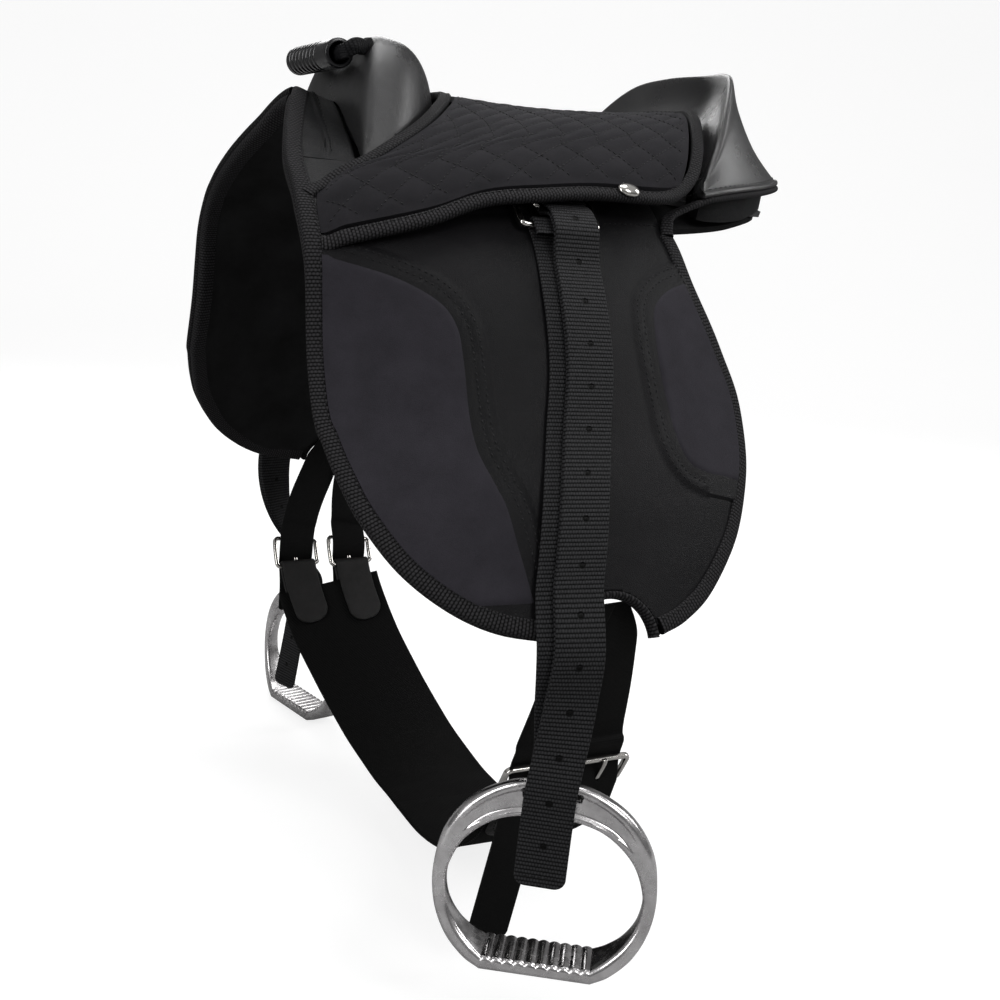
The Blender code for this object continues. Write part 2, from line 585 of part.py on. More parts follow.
def seat():
    rows, columns = QUILT_CELLS
    edge = 1 - (SEAT_BINDING + 3 * GAP) / SEAT_HALF_ROUND
    outer, inner = [], []
    for i, t in enumerate(np.linspace(SEAT_START, SEAT_END, rows + 1)):
        row_out, row_in = [], []
        for j, g in enumerate(np.linspace(-edge, edge, columns + 1)):
            seam = (i + j) % 2 == 0
            rim = i in (0, rows) or j in (0, columns)
            height = 0.0 if rim or seam else QUILT_DEPTH
            side = -1 if g < 0 else 1
            row_out.append(seat_point(abs(g), t, height, side))
            row_in.append(seat_point(abs(g), t, -SEAT_THICK, side))
        outer.append(row_out)
        inner.append(row_in)
    grid_solid("seat_cover", outer, inner, "suede", quilted=True)

    f_mid, t_low, t_high = 1 - SEAT_BINDING / 2 / SEAT_HALF_ROUND, 0.02, 0.98
    loop = [(g, t_low) for g in np.linspace(-f_mid, f_mid, 17)]
    loop += [(f_mid, t) for t in np.linspace(t_low, t_high, 12)[1:-1]]
    loop += [(g, t_high) for g in np.linspace(f_mid, -f_mid, 17)]
    loop += [(-f_mid, t) for t in np.linspace(t_high, t_low, 12)[1:-1]]
    profile = tape_profile(SEAT_BINDING - 0.6, -SEAT_THICK - 0.6, 0.9, 1.2)
    points, normals = [], []
    for g, t in loop:
        side = -1 if g < 0 else 1
        point = seat_point(abs(g), t, 0.0, side)
        above = seat_point(abs(g), t, 1.0, side)
        points.append(point)
        normals.append((above - point).normalized())
    rings = []
    for k, point in enumerate(points):
        along = (points[(k + 1) % len(points)] - points[k - 1]).normalized()
        across = along.cross(normals[k]).normalized()
        rings.append(ring_at((point, across, normals[k]), profile))
    loft("seat_binding", rings, "binding_tape", closed=True)

    outer, inner = [], []
    for t in np.linspace(0.1, 0.93, 9):
        gs = np.linspace(-0.56, 0.56, 11)
        outer.append([seat_point(abs(g), t, -SEAT_THICK - GAP, -1 if g < 0 else 1) for g in gs])
        row = []
        for g in gs:
            x = table(SEAT_FRONT, abs(g)) * (1 - t) + table(SEAT_REAR, abs(g)) * t
            border_x = SEAT_FRONT[-1][1] * (1 - t) + SEAT_REAR[-1][1] * t
            s = abs(g) * table(SEAT_DROP, border_x)
            row.append(lifted(x, math.copysign(max(s, 0.01), g), GAP))
        inner.append(row)
    grid_solid("seat_foam", outer, inner, "foam")

    for word, side in SIDES:
        f, t = STUD_PLACE
        base = seat_point(f, t, QUILT_DEPTH + 2 * GAP, side)
        normal = (base - seat_point(f, t, 0.0, side)).normalized()
        across = normal.cross(Vector((1, 0, 0))).normalized()
        rings = []
        for radius, height in STUD_PROFILE:
            side_axis = normal.cross(across)
            rings.append(
                [base + height * normal + a * across + b * side_axis for a, b in round_profile(radius, 16)]
            )
        loft(f"stud_{word}", rings, "steel")


def tree():
    outer, inner = [], []
    for x in TREE_XS:
        share = 1.0 if x < TREE_TAIL_X else TREE_TAIL_SHARE
        outer.append([lifted(x, s * share, TREE_OUT) for s in TREE_DROPS])
        inner.append([lifted(x, s * share, TREE_IN) for s in TREE_DROPS])
    grid_solid("tree", outer, inner, "tree_plastic")

    edge = inset(catmull(FRONT_EDGE, 3), BINDING_WIDTH + BINDING_GAP)
    front = [(s, x) for x, s in edge]
    drops = np.linspace(-FLAP_TOP + GAP, FLAP_TOP - GAP, PANEL_ROWS)
    outer, inner = [], []
    for s in drops:
        left = table(front, abs(s))
        right = POMMEL_FRONT - PANEL_SHORT - POMMEL_FLARE * (abs(s) / PANEL_HALF) ** 2
        xs = [left, (left + right) / 2, right]
        outer.append([lifted(x, s if s else 0.01, PANEL_OUT) for x in xs])
        inner.append([lifted(x, s if s else 0.01, TREE_IN) for x in xs])
    grid_solid("pommel_front_panel", outer, inner, "synthetic_leather")


def pommel_span(y):
    """x of the pommel's front and rear at a distance from the centre line."""
    border = [seat_point(f, 0.0) for f in np.linspace(0, 0.8, 24)]
    front = POMMEL_FRONT - POMMEL_FLARE * (abs(y) / POMMEL_HALF) ** 2
    return front, max(table([(p.y, p.x) for p in border], abs(y)) - 2.5, front + 4.0)


def pommel_top(x, y):
    """Height of the pommel's surface over a point."""
    front, rear = pommel_span(y)
    u = (x - front) / (rear - front) - POMMEL_PEAK
    reach, power = (POMMEL_PEAK, POMMEL_POWER_FRONT) if u < 0 else (1 - POMMEL_PEAK, POMMEL_POWER_REAR)
    share = (1 - min(1.0, abs(u) / reach) ** power) ** (1 / power)
    return top_height(x, y) + POMMEL_EDGE + table(POMMEL_RISE, abs(y)) * share


def pommel():
    rings = []
    for y in [-w for w in reversed(POMMEL_WIDTHS[1:])] + POMMEL_WIDTHS:
        front, rear = pommel_span(y)
        ring = []
        for k in range(POMMEL_ARC + 1):
            c = math.cos(math.pi * k / POMMEL_ARC)
            if c > 0:
                u = POMMEL_PEAK * (1 - c ** (2 / POMMEL_POWER_FRONT))
            else:
                u = POMMEL_PEAK + (1 - POMMEL_PEAK) * (-c) ** (2 / POMMEL_POWER_REAR)
            x = front + u * (rear - front)
            ring.append(Vector((x, y, pommel_top(x, y))))
        for u in (0.8, 0.5, 0.2):
            x = front + u * (rear - front)
            ring.append(Vector((x, y, top_height(x, y) + POMMEL_FOOT)))
        rings.append(ring)
    loft("pommel_shell", rings, "moulded_pu")


def cantle_curve(points, w):
    line = catmull(points, 8)
    at = w * (len(line) - 1)
    low = min(int(at), len(line) - 2)
    return line[low] + (at - low) * (line[low + 1] - line[low])


def cantle():
    rings, panel, tape = [], [], []
    up = np.array([0.0, 0.0, 1.0])
    wide, thick = CANTLE_TAPE
    for k in range(-CANTLE_STEPS, CANTLE_STEPS + 1):
        w, side = CANTLE_END * abs(k) / CANTLE_STEPS, -1 if k < 0 else 1
        flip = np.array([1.0, side, 1.0])
        lines = [cantle_curve(c, w) * flip for c in (CANTLE_INNER, CANTLE_RIM, CANTLE_FLANGE)]
        flange = lines[2]
        out = flange - lines[0]
        out[2] = 0
        out /= np.linalg.norm(out)
        ring = []
        for place, outward, upward, hollow_out, hollow_up in CANTLE_SECTION:
            low = min(int(place), 1)
            base = lines[low] + (place - low) * (lines[low + 1] - lines[low])
            base = base + (outward + (1 - w) * hollow_out) * out + (upward + (1 - w) * hollow_up) * up
            ring.append(Vector(base))
        rings.append(ring)
        if w < CANTLE_TAPE_END:
            middle = flange + CANTLE_TAPE_OUT * out + CANTLE_TAPE_UP * up
            tape.append([
                Vector(middle + a * wide / 2 * out + b * thick / 2 * up)
                for a, b in ((-1, -1), (0.7, -1), (1, -0.4), (1, 0.4), (0.7, 1), (-1, 1))
            ])
        if w < CANTLE_PANEL_END:
            top, deep = (Vector(flange + o * out + CANTLE_PANEL_UP * up) for o in CANTLE_PANEL_OUT)
            low_out = top - CANTLE_PANEL_LEAN * Vector(out)
            low_in = deep.copy()
            for corner in (low_out, low_in):
                corner.z = top_height(corner.x, corner.y) + CANTLE_PANEL_FOOT
            panel.append([top, deep, low_in, low_out])
    loft("cantle_shell", rings, "moulded_pu")
    loft("cantle_under_panel", panel, "lining")
    loft("cantle_binding", tape, "binding_tape")


def line_of(points, acrosses, normals, starts=None):
    """A guide line: distances along it, with its points, directions across and normals."""
    points = np.array(points, float)
    steps = np.linalg.norm(np.diff(points, axis=0), axis=1)
    along = np.concatenate([[0.0], np.cumsum(steps)]) if starts is None else np.array(starts, float)
    return along, points, np.array(acrosses, float), np.array(normals, float)


def line_at(line, d):
    """Point, direction across, normal and direction along, at a distance on a guide line."""
    along, points, acrosses, normals = line
    k = int(np.clip(np.searchsorted(along, d) - 1, 0, len(along) - 2))
    t = (d - along[k]) / (along[k + 1] - along[k])
    held = min(max(t, 0.0), 1.0)
    point = Vector(points[k] + t * (points[k + 1] - points[k]))
    across = Vector(acrosses[k] + held * (acrosses[k + 1] - acrosses[k])).normalized()
    normal = Vector(normals[k] + held * (normals[k + 1] - normals[k]))
    normal = (normal - normal.dot(across) * across).normalized()
    forward = across.cross(normal).normalized()
    if forward.dot(Vector(points[k + 1] - points[k])) < 0:
        forward = -forward
    return point, across, normal, forward


def ribbon(name, line, path, width, thick, kind):
    """Flat webbing along a path of (distance, height, shift aside) over a guide line."""
    path = np.array([(*stop, 0.0)[:3] for stop in path], float)
    slope = np.gradient(path, axis=0)
    rings = []
    for k, ((d, h, aside), (run, rise, _)) in enumerate(zip(path, slope)):
        point, across, normal, forward = line_at(line, d)
        size = math.hypot(run, rise)
        up = float(run / size) * normal - float(rise / size) * forward
        w = (width[k] if isinstance(width, list) else width) / 2
        corners = [(-w, -thick / 2), (w, -thick / 2), (w, thick / 2), (-w, thick / 2)]
        centre = point + float(h) * normal + float(aside) * across
        rings.append(ring_at((centre, across, up), corners))
    return loft(name, rings, kind)


def arc(centre, radius, start, end, steps):
    """Points of (distance, height) round a bar, between two angles in degrees."""
    turns = np.radians(np.linspace(start, end, steps + 1))
    return [(centre[0] + radius * math.cos(t), centre[1] + radius * math.sin(t)) for t in turns]


def frame_loop(name, line, low, high, half, height_low, height_high, wire, kind):
    """A closed rectangular wire frame that lies along a guide line."""
    corner = 2.2
    loop = []
    for sx, sd, start in ((1, 1, 0), (-1, 1, 90), (-1, -1, 180), (1, -1, 270)):
        for turn in (0, 45, 90):
            angle = math.radians(start + turn)
            a = sx * (half - corner) + corner * math.cos(angle)
            d = (high if sd > 0 else low) - sd * corner + corner * math.sin(angle)
            height = height_low + (height_high - height_low) * (d - low) / (high - low)
            point, across, normal, forward = line_at(line, d)
            loop.append(point + a * across + height * normal)
    normal = line_at(line, (low + high) / 2)[2]
    return strip(name, loop, normal, round_profile(wire / 2, 6), kind, closed=True)


def strap_guide(word, side):
    """Guide line of a stirrup strap: its distance is the drop from the spine while on the flap."""
    points, normals, drops = [], [], []
    for x, s in catmull(STRAP_LINE[word], 3):
        points.append(on_face(x, side * s))
        normals.append(face_normal(x, side * s))
        drops.append(s)
    for x, y, z in STRAP_FREE[word]:
        point = Vector((x, side * y, z))
        twist = math.radians(table(STRAP_TWIST[word], z))
        drops.append(drops[-1] + (point - points[-1]).length)
        points.append(point)
        normals.append(Vector((-math.sin(twist), side * math.cos(twist), 0.0)))
    acrosses = []
    for point in points:
        twist = math.radians(table(STRAP_TWIST[word], point.z))
        acrosses.append(Vector((math.cos(twist), side * math.sin(twist), 0.0)))
    return line_of(points, acrosses, normals, drops)


def strap_path(bar_drop, tail, back_shift, twist_step):
    """The strap as one webbing: from the ring down, round the iron's bar, up to the buckle, down."""
    half = STRAP_THICK / 2
    ring_reach = RING_WIRE / 2 + 0.5 + half
    path = [(RING_DROP + 9, RING_LIFT + ring_reach), (RING_DROP + 4, RING_LIFT + ring_reach)]
    path += arc((RING_DROP, RING_LIFT), ring_reach, 90, 270, 6)
    free = rows_between(FREE_DROP, bar_drop, twist_step)
    stops = [*rows_between(RING_DROP + 10, FREE_DROP, STRAP_STEP), *free[1:]]

    def gap_at(d):
        return table(STRAP_OPEN, bar_drop - d) if d < bar_drop else STRAP_OPEN[0][1]

    path += [(d, table(STRAP_HEIGHTS, d)) for d in stops]

    def shift(d):
        return -back_shift * max(0.0, min(1.0, (bar_drop - SHIFT_END - d) / SHIFT_FADE))

    path = [(d, h, shift(d)) for d, h in path]
    reach = (STRAP_PLY + STRAP_OPEN[0][1]) / 2
    bar_height = table(STRAP_HEIGHTS, bar_drop) + reach
    path += arc((bar_drop, bar_height), reach, -60, 60, 4)
    bar_reach = STRAP_BUCKLE_WIRE / 2 + WIRE_CLEAR + half
    turn = (STRAP_BUCKLE_DROP, table(STRAP_HEIGHTS, 100) + 0.7 + bar_reach)
    laid = rows_between(THREE_PLY_DROP, FREE_DROP, STRAP_STEP)
    rising = sorted({*laid, *free, *(d for d, _ in STRAP_HUMP)})
    for d in reversed(rising):
        path.append((d, table(STRAP_HEIGHTS, d) + ply_height(d, gap_at(d), 1)))
    path += arc(turn, bar_reach, 270, 90, 6)
    for d in [*rising, bar_drop + tail / 2, bar_drop + tail]:
        path.append((d, table(STRAP_HEIGHTS, d) + ply_height(d, gap_at(d), 2)))
    return path, bar_height, turn


def ply_height(d, opened, ply):
    """Height of the second or third layer of the strap over its first."""
    top = table([(104, 0.7), (117, 0.7), (127, STRAP_PLY), (152, STRAP_PLY)], d)
    if ply == 1:
        return top + table(STRAP_HUMP, d) + opened
    apart = table([(104, STRAP_BUCKLE_WIRE + STRAP_THICK + 1.9), (117, 6.1), (127, STRAP_PLY)], d)
    return top + table(STRAP_HUMP, d) + opened + apart


def iron_mesh():
    """The iron in its own plane: x across, z up from the middle of the bar that carries it."""
    outer, inner = catmull(IRON_OUTER, 2), catmull(IRON_INNER, 2)
    depths = np.interp(np.linspace(0, 1, len(outer)), np.linspace(0, 1, len(IRON_DEPTHS)), IRON_DEPTHS)

    def ring(flip, out, into, depth):
        a, b = Vector((flip * out[0], 0, out[1])), Vector((flip * into[0], 0, into[1]))
        wire, depth = (a - b).length, float(depth)
        profile = box_profile(wire, -depth / 2, depth / 2, 0.28 * min(wire, depth))
        return ring_at(((a + b) / 2, (b - a) / wire, Vector((0, 1, 0))), profile)

    rings = [ring(1, *values) for values in zip(outer, inner, depths)]
    steps = 2 * TREAD_RIBS
    for k in range(1, steps):
        rise = TREAD_RIB_RISE if k % 2 else 0.0
        x = outer[-1][0] * (1 - 2 * k / steps)
        rings.append(ring(1, (x, outer[-1][1] - rise), (x, inner[-1][1] + rise), depths[-1]))
    rings += [ring(-1, *values) for values in reversed(list(zip(outer, inner, depths))[1:])]
    iron = loft("iron", rings, "aluminium", closed=True)

    half = SLOT_WIDTH / 2
    corners = [(-half, SLOT_BOTTOM), (half, SLOT_BOTTOM), (half, SLOT_TOP), (-half, SLOT_TOP)]
    rings = [[Vector((x, y, z)) for x, z in corners] for y in (-SLOT_REACH, SLOT_REACH)]
    slot = loft("slot", rings, "aluminium")
    boolean(iron, slot, "DIFFERENCE")
    graph = bpy.context.evaluated_depsgraph_get()
    mesh = bpy.data.meshes.new_from_object(iron.evaluated_get(graph))
    for helper in (iron, slot):
        bpy.data.objects.remove(helper)
    return mesh


def stirrups():
    mesh = iron_mesh()
    for word, side in SIDES:
        guide = strap_guide(word, side)
        pivot = lifted(STRAP_PIVOT_X, side * STRAP_BUCKLE_DROP, RING_LIFT)
        ring = [
            (RING_LEFT, RING_TOP, 3.4), (RING_LEFT, RING_DROP - 3, RING_LIFT),
            (RING_LEFT + 3, RING_DROP, RING_LIFT), (RING_RIGHT - 3, RING_DROP, RING_LIFT),
            (RING_RIGHT, RING_DROP - 3, RING_LIFT), (RING_RIGHT, RING_TOP, 3.4),
        ]
        points = []
        for aside, drop, height in ring:
            point, across, normal, _ = line_at(guide, drop)
            points.append(point + aside * across + height * normal)
        made = strip(f"stirrup_ring_{word}", points, normal, round_profile(RING_WIRE / 2, 8), "steel")
        place_on_axis(made, pivot)

        bar_drop = float(np.interp(-IRON_BAR_Z[word], -guide[1][:, 2], guide[0]))
        path, bar_height, turn = strap_path(bar_drop, TAIL_LENGTHS[word], BACK_PLY_SHIFT[word], TWIST_STEPS[word])
        strap = ribbon(f"stirrup_strap_{word}", guide, path, STRAP_WIDTH, STRAP_THICK, "webbing")
        place_on_axis(strap, pivot)
        drop, height = turn
        half = STRAP_WIDTH / 2 + 0.4 + STRAP_BUCKLE_WIRE / 2
        buckle = frame_loop(
            f"strap_buckle_{word}", guide, drop, drop + STRAP_BUCKLE_LONG, half, height, height,
            STRAP_BUCKLE_WIRE, "steel",
        )
        place_on_axis(buckle, pivot)
        tongue_path = [(drop + 2.2, height + 0.6), (drop + 8, height + 1.5)]
        end = drop + STRAP_BUCKLE_LONG
        tongue_path += [(end, height + 2.3), (end + 2, height + 2.1)]
        tongue = ribbon(f"strap_tongue_{word}", guide, tongue_path, 2.4, 1.0, "steel")
        place_on_axis(tongue, pivot)

        point, across, normal, forward = line_at(guide, bar_drop)
        iron = bpy.data.objects.new(f"stirrup_iron_{word}", mesh)
        bpy.context.scene.collection.objects.link(iron)
        iron.location = (point + bar_height * normal) * MM
        iron.rotation_euler = (0, 0, math.atan2(across.y, across.x))


def girth_guide(word, side, spread=((0.0, 0.0), (1.0, 0.0)), hangs=False):
    """Guide line of half the girth, from its bottom up, with the distance zero at the buckle's bar."""
    points = catmull(GIRTH_LINES[word], 3)
    bar_z = GIRTH_BAR_Z[word]
    top_z = points[-1][2]
    acrosses, normals = [], []
    tangent = np.gradient(points, axis=0)
    shifted = []
    for point, along in zip(points, tangent):
        share = min(1.0, max(0.0, (point[2] - bar_z) / (top_z - bar_z)))
        shifted.append((point[0] + table(spread, share), point[1], point[2]))
        along = Vector(along).normalized()
        across = (Vector((1, 0, 0)) - along.x * along).normalized()
        normal = along.cross(across).normalized()
        away = Vector((0, point[1], point[2] + 200.0))
        normals.append(normal if normal.dot(away) > 0 else -normal)
        acrosses.append(across)
    line = line_of(shifted, acrosses, normals)
    bar = float(np.interp(bar_z, points[:, 2], line[0]))
    line = (line[0] - bar, *line[1:])
    if not hangs:
        return line
    start, across, normal, _ = line_at(line, HANG_START)
    down = Vector((TAIL_LEAN[word], 0, -1)).normalized()
    hang = [(start + t * down, across, Vector((0, side, 0))) for t in HANG_STOPS]
    kept = line[0] > HANG_START
    rows = [[p[k] for p in hang] + list(line[k + 1][kept]) for k in range(3)]
    return line_of(*rows, [*(HANG_START - t for t in HANG_STOPS), *line[0][kept]])


def girth():
    rings = []
    profile = box_profile(GIRTH_WIDTH, -GIRTH_THICK / 2, GIRTH_THICK / 2, 1.0)
    for word, side in SIDES:
        line = girth_guide(word, side)
        half = [line_at(line, d) for d in rows_between(line[0][0], -BAND_STOP, GIRTH_STEP)]
        frames = [(point, across, normal) for point, across, normal, _ in half]
        if side == NEAR:
            rings = [ring_at(frame, profile) for frame in reversed(frames)]
        else:
            rings += [ring_at(frame, profile) for frame in frames[1:]]
    pivot = (GIRTH_SWING[0], 0.0, GIRTH_SWING[1])
    place_on_axis(loft("girth_band", rings, "webbing"), pivot)

    for word, side in SIDES:
        for place, flip in (("front", -1), ("rear", 1)):
            apart = flip * BUCKLE_SPACING / 2
            line = girth_guide(word, side, [(0.0, apart), (1.0, apart)])
            tab_height = (GIRTH_THICK + TAB_THICK) / 2 + GIRTH_CLEAR
            path = [(d, tab_height) for d in TAB_STOPS]
            path += arc((0.0, 0.0), tab_height, 90, -90, 6)
            path += [(d, -tab_height) for d in reversed(TAB_STOPS)]
            ends = [TAB_WIDTH * share for share in TAB_POINT]
            widths = ends + [TAB_WIDTH] * (len(path) - 4) + ends[::-1]
            tab = ribbon(f"girth_tab_{word}_{place}", line, path, widths, TAB_THICK, "leather")
            buckle = frame_loop(
                f"girth_buckle_{word}_{place}", line, 0.0, BUCKLE_LONG, BUCKLE_HALF, 0.0, BUCKLE_FLAT,
                BUCKLE_WIRE, "steel",
            )

            spread = [(share, flip * x) for share, x in BILLET_SPREAD]
            billet_line = girth_guide(word, side, spread, hangs=True)
            top = billet_line[0][-1] - 3.0
            layer = BILLET_LAYERS[place]
            over = tab_height + TAB_THICK / 2 + GAP + BILLET_THICK / 2
            tail = BILLET_TAILS[word][0 if flip < 0 else 1]
            path = [(d, layer) for d in rows_between(top, BILLETS_PART, GIRTH_STEP)]
            path += [*BILLET_PATH, (4.0, over - 0.2)]
            path += [(d, over) for d in rows_between(0.0, -tail, GIRTH_STEP)]
            billet = ribbon(
                f"girth_billet_{word}_{place}", billet_line, path, BILLET_WIDTH, BILLET_THICK, "webbing",
            )

            tongue = ribbon(
                f"girth_tongue_{word}_{place}", line, TONGUE_PATH, TONGUE_WIDTH, TONGUE_THICK, "steel",
            )
            hole = ribbon(
                f"tongue_hole_{word}_{place}", line, TONGUE_HOLE_PATH, TONGUE_WIDTH + 2 * GAP,
                TONGUE_THICK + 2 * GAP, "steel",
            )
            boolean(tab, hole, "DIFFERENCE")
            boolean(billet, hole, "DIFFERENCE")
            for piece in (tab, buckle, billet, tongue, hole):
                place_on_axis(piece, pivot)


def handle():
    axis = (HANDLE_X, 0.0, pommel_top(HANDLE_X, HANDLE_Y) + HANDLE_CLEAR)
    stops = [(HANDLE_X, HANDLE_Y, axis[2]), *HANDLE_LINE]
    far = [(x, y, z) for x, y, z in reversed(stops)]
    line = catmull([*((x, -y, z) for x, y, z in stops), (GRIP_X, 0, GRIP_Z), *far], 3)
    total = len(line) - 1
    rings = []
    for k, (point, side, up) in enumerate(path_frames(line, (0, 0, 1))):
        share = abs(2 * k / total - 1)
        flat = min(1.0, max(0.0, (share - HANDLE_TURN[0]) / (HANDLE_TURN[1] - HANDLE_TURN[0])))
        turn = flat * math.pi / 2 * (1 if k < total / 2 else -1)
        across = math.cos(turn) * side + math.sin(turn) * up
        raised = math.cos(turn) * up - math.sin(turn) * side
        width = table(HANDLE_WIDTHS, share)
        profile = box_profile(width, -HANDLE_THICK / 2, HANDLE_THICK / 2, 0.6)
        rings.append(ring_at((point, across, raised), profile))
    webbing = loft("handle_webbing", rings, "webbing")
    place_on_axis(webbing, axis)

    outline = [(-GRIP_HALF, GRIP_RADIUS - 0.8), (-GRIP_HALF + 1, GRIP_RADIUS), (-GRIP_HALF + 9, GRIP_RADIUS)]
    span = 2 * (GRIP_HALF - 10)
    for k in range(GRIP_RIBS):
        middle = -GRIP_HALF + 10 + (k + 0.5) * span / GRIP_RIBS
        outline += [(middle - 2.6, GRIP_RADIUS - 1.1), (middle - 1.4, GRIP_RADIUS + 0.2)]
        outline += [(middle + 1.4, GRIP_RADIUS + 0.2), (middle + 2.6, GRIP_RADIUS - 1.1)]
    outline += [(GRIP_HALF - 9, GRIP_RADIUS), (GRIP_HALF - 1, GRIP_RADIUS), (GRIP_HALF, GRIP_RADIUS - 0.8)]
    outline += [(GRIP_HALF, GRIP_BORE), (-GRIP_HALF, GRIP_BORE)]
    rings = []
    for y, radius in outline:
        turns = [2 * math.pi * k / 14 for k in range(14)]
        rings.append([
            Vector((GRIP_X + radius * math.cos(t), y, GRIP_Z + radius * math.sin(t))) for t in turns
        ])
    grip = loft("handle_grip", rings, "grip_rubber", closed=True)
    place_on_axis(grip, axis)


def clear_scene():
    for thing in list(bpy.data.objects):
        bpy.data.objects.remove(thing)


def main():
    clear_scene()
    pads()
    flaps()
    patches()
    bindings()
    seat()
    tree()
    pommel()
    cantle()
    stirrups()
    girth()
    handle()


main()
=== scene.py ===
"""Looks of the pony saddle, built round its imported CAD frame.

The frame: +X runs to the rear of the saddle, -Y is the near (left) side, +Z is up.
Lengths are in millimetres until a mesh is made.
"""

import math

import bpy
import numpy as np
from mathutils import Matrix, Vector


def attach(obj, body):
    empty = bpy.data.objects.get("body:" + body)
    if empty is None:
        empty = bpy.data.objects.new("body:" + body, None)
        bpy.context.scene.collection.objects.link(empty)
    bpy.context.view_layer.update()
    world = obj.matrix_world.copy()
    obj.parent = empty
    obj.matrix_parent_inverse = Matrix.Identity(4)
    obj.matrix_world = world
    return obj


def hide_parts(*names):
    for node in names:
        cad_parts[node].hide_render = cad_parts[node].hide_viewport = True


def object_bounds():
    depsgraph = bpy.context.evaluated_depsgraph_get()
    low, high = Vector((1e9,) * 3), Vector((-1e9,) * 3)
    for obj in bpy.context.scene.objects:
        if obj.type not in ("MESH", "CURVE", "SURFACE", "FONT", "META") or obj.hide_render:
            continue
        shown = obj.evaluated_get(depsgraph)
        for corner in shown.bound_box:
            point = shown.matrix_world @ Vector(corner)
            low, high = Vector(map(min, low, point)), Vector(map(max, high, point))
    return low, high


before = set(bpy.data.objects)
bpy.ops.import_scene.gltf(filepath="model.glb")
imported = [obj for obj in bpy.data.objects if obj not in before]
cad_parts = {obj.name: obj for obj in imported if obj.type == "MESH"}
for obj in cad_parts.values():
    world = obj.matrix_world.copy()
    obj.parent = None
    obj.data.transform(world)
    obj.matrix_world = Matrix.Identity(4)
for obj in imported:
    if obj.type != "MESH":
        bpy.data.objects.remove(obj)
cad_box = [list(corner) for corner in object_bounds()]

MM = 0.001
UP = np.array([0.0, 0.0, 1.0])
SIDES = (("near", -1), ("far", 1))
UV_MAP = "Lay"
# Keeps the names of the finishes apart from those of the frame's own materials.
FINISH_ENDING = "_finish"

# The photograph's camera: azimuth, pitch and roll in degrees, its place and its lens.
CAMERA_TURN, CAMERA_PITCH, CAMERA_ROLL = 26.1936, 12.6797, 5.0
CAMERA_PLACE = (-0.330, -0.723, -0.015)
CAMERA_LENS, CAMERA_SENSOR = 46.8, 36.0
AHEAD = np.array([math.sin(math.radians(CAMERA_TURN)), math.cos(math.radians(CAMERA_TURN)), 0.0])
ASIDE = np.array([AHEAD[1], -AHEAD[0], 0.0])

# Lamps, in metres and watts: place, size and power. They all face one point.
LAMPS_FACE = (0.0, 0.0, -0.1)
LAMPS = {
    "key": ((0.4, -1.7, 1.2), (0.7, 0.9), 15.0),
    "front_fill": ((-1.7, -0.7, 0.5), (0.4, 1.5), 15.0),
    "top": ((0.1, 0.2, 1.6), (1.0, 0.8), 18.0),
    "rear_side": ((1.7, -0.3, 0.8), (0.5, 1.0), 12.0),
    "back": ((0.4, 1.7, 0.9), (0.8, 0.8), 8.0),
}
# Strength of the world for diffuse light, and for reflections from low down to high up.
WORLD_LIGHT = 0.42
GLOSS_FROM, GLOSS_TO, GLOSS_LOW, GLOSS_HIGH = -0.1, 0.75, 0.05, 0.4
# The floor, in metres: its drop below the part, its near edge, then where its rise starts, and the
# rise's radius, half width and height. FLOOR_LIFT is light on it that only the camera sees.
FLOOR_DROP, FLOOR_NEAR, FLOOR_START = 0.002, -5.0, 2.0
FLOOR_RADIUS, FLOOR_HALF, FLOOR_HIGH = 1.0, 5.0, 3.5
FLOOR_LIFT = 0.8

# Half sections of the outer face of the flaps, as (half width, height), at three stations.
FRONT_X, MID_X, REAR_X = -146.0, -10.0, 175.0
FRONT_SECTION = [
    (0, 46), (31, 23), (60, 3), (87, -13), (105, -29), (116, -45), (121, -66), (126, -89),
    (136, -112), (148, -131), (161, -150), (173, -170), (185, -195), (194, -215), (203, -235),
]
MID_SECTION = [
    (0, 13), (36, 9), (72, 1), (102, -12), (122, -28), (137, -45), (151, -66), (163, -89),
    (174, -112), (184, -131), (193, -150), (201, -170), (211, -195), (219, -215), (226, -235),
]
REAR_SECTION = [
    (0, 2), (30, 0), (55, -6), (72, -16), (84, -30), (89, -45), (93, -66), (97, -89),
    (104, -112), (112, -131), (122, -150), (134, -170), (146, -195), (156, -215), (165, -235),
]
BODY_CORE_Z = -90.0

# Layers, as heights above the outer face of the flap.
FLAP_IN = -2.5
PAD_OUT, PAD_EDGE_IN, PAD_IN = -4.6, -8.6, -13.4
PAD_CREST_DIP = 1.8
TREE_IN = -4.0
PATCH_OUT = 1.7
# The flap's upper edge, as its distance from the spine.
FLAP_TOP = 78.0
# The webbing between the pads: its front and rear x, half width and thickness, then the pads' start.
GULLET_SPAN, GULLET_HALF, GULLET_THICK, PAD_START = (-113.0, 176.0), 3.4, 4.0, 3.6

# The edge of pad and flap, as (x, distance down from the spine).
FRONT_EDGE = [
    (-123, 3), (-132, 32), (-142, 73), (-145, 107), (-146, 131), (-146, 219), (-143, 240),
    (-138, 260), (-131, 279), (-116, 303), (-95, 322), (-72, 334), (-44, 340),
]
REAR_EDGE = [
    (15, 338), (30, 331), (49, 316), (71, 287), (84, 257), (89, 234), (88, 207), (78, 182),
    (66, 150), (62, 122), (61, 117),
]
REAR_CORNER = 116.0
# The flap's rear edge above that corner, as (distance from the spine, x).
FLAP_REAR_TOP = [(FLAP_TOP, 60.0), (112.0, 55.0)]
# The ends of the hem's stitching there, as (x, distance from the spine).
FLAP_HEM = ((16.0, 117.0), (60.0, 110.0))
PAD_REAR = [(176, 0), (172, 28), (152, 55), (122, 80), (90, 96), (64, 106), (52, 111)]
BINDING_WIDTH = 9.0
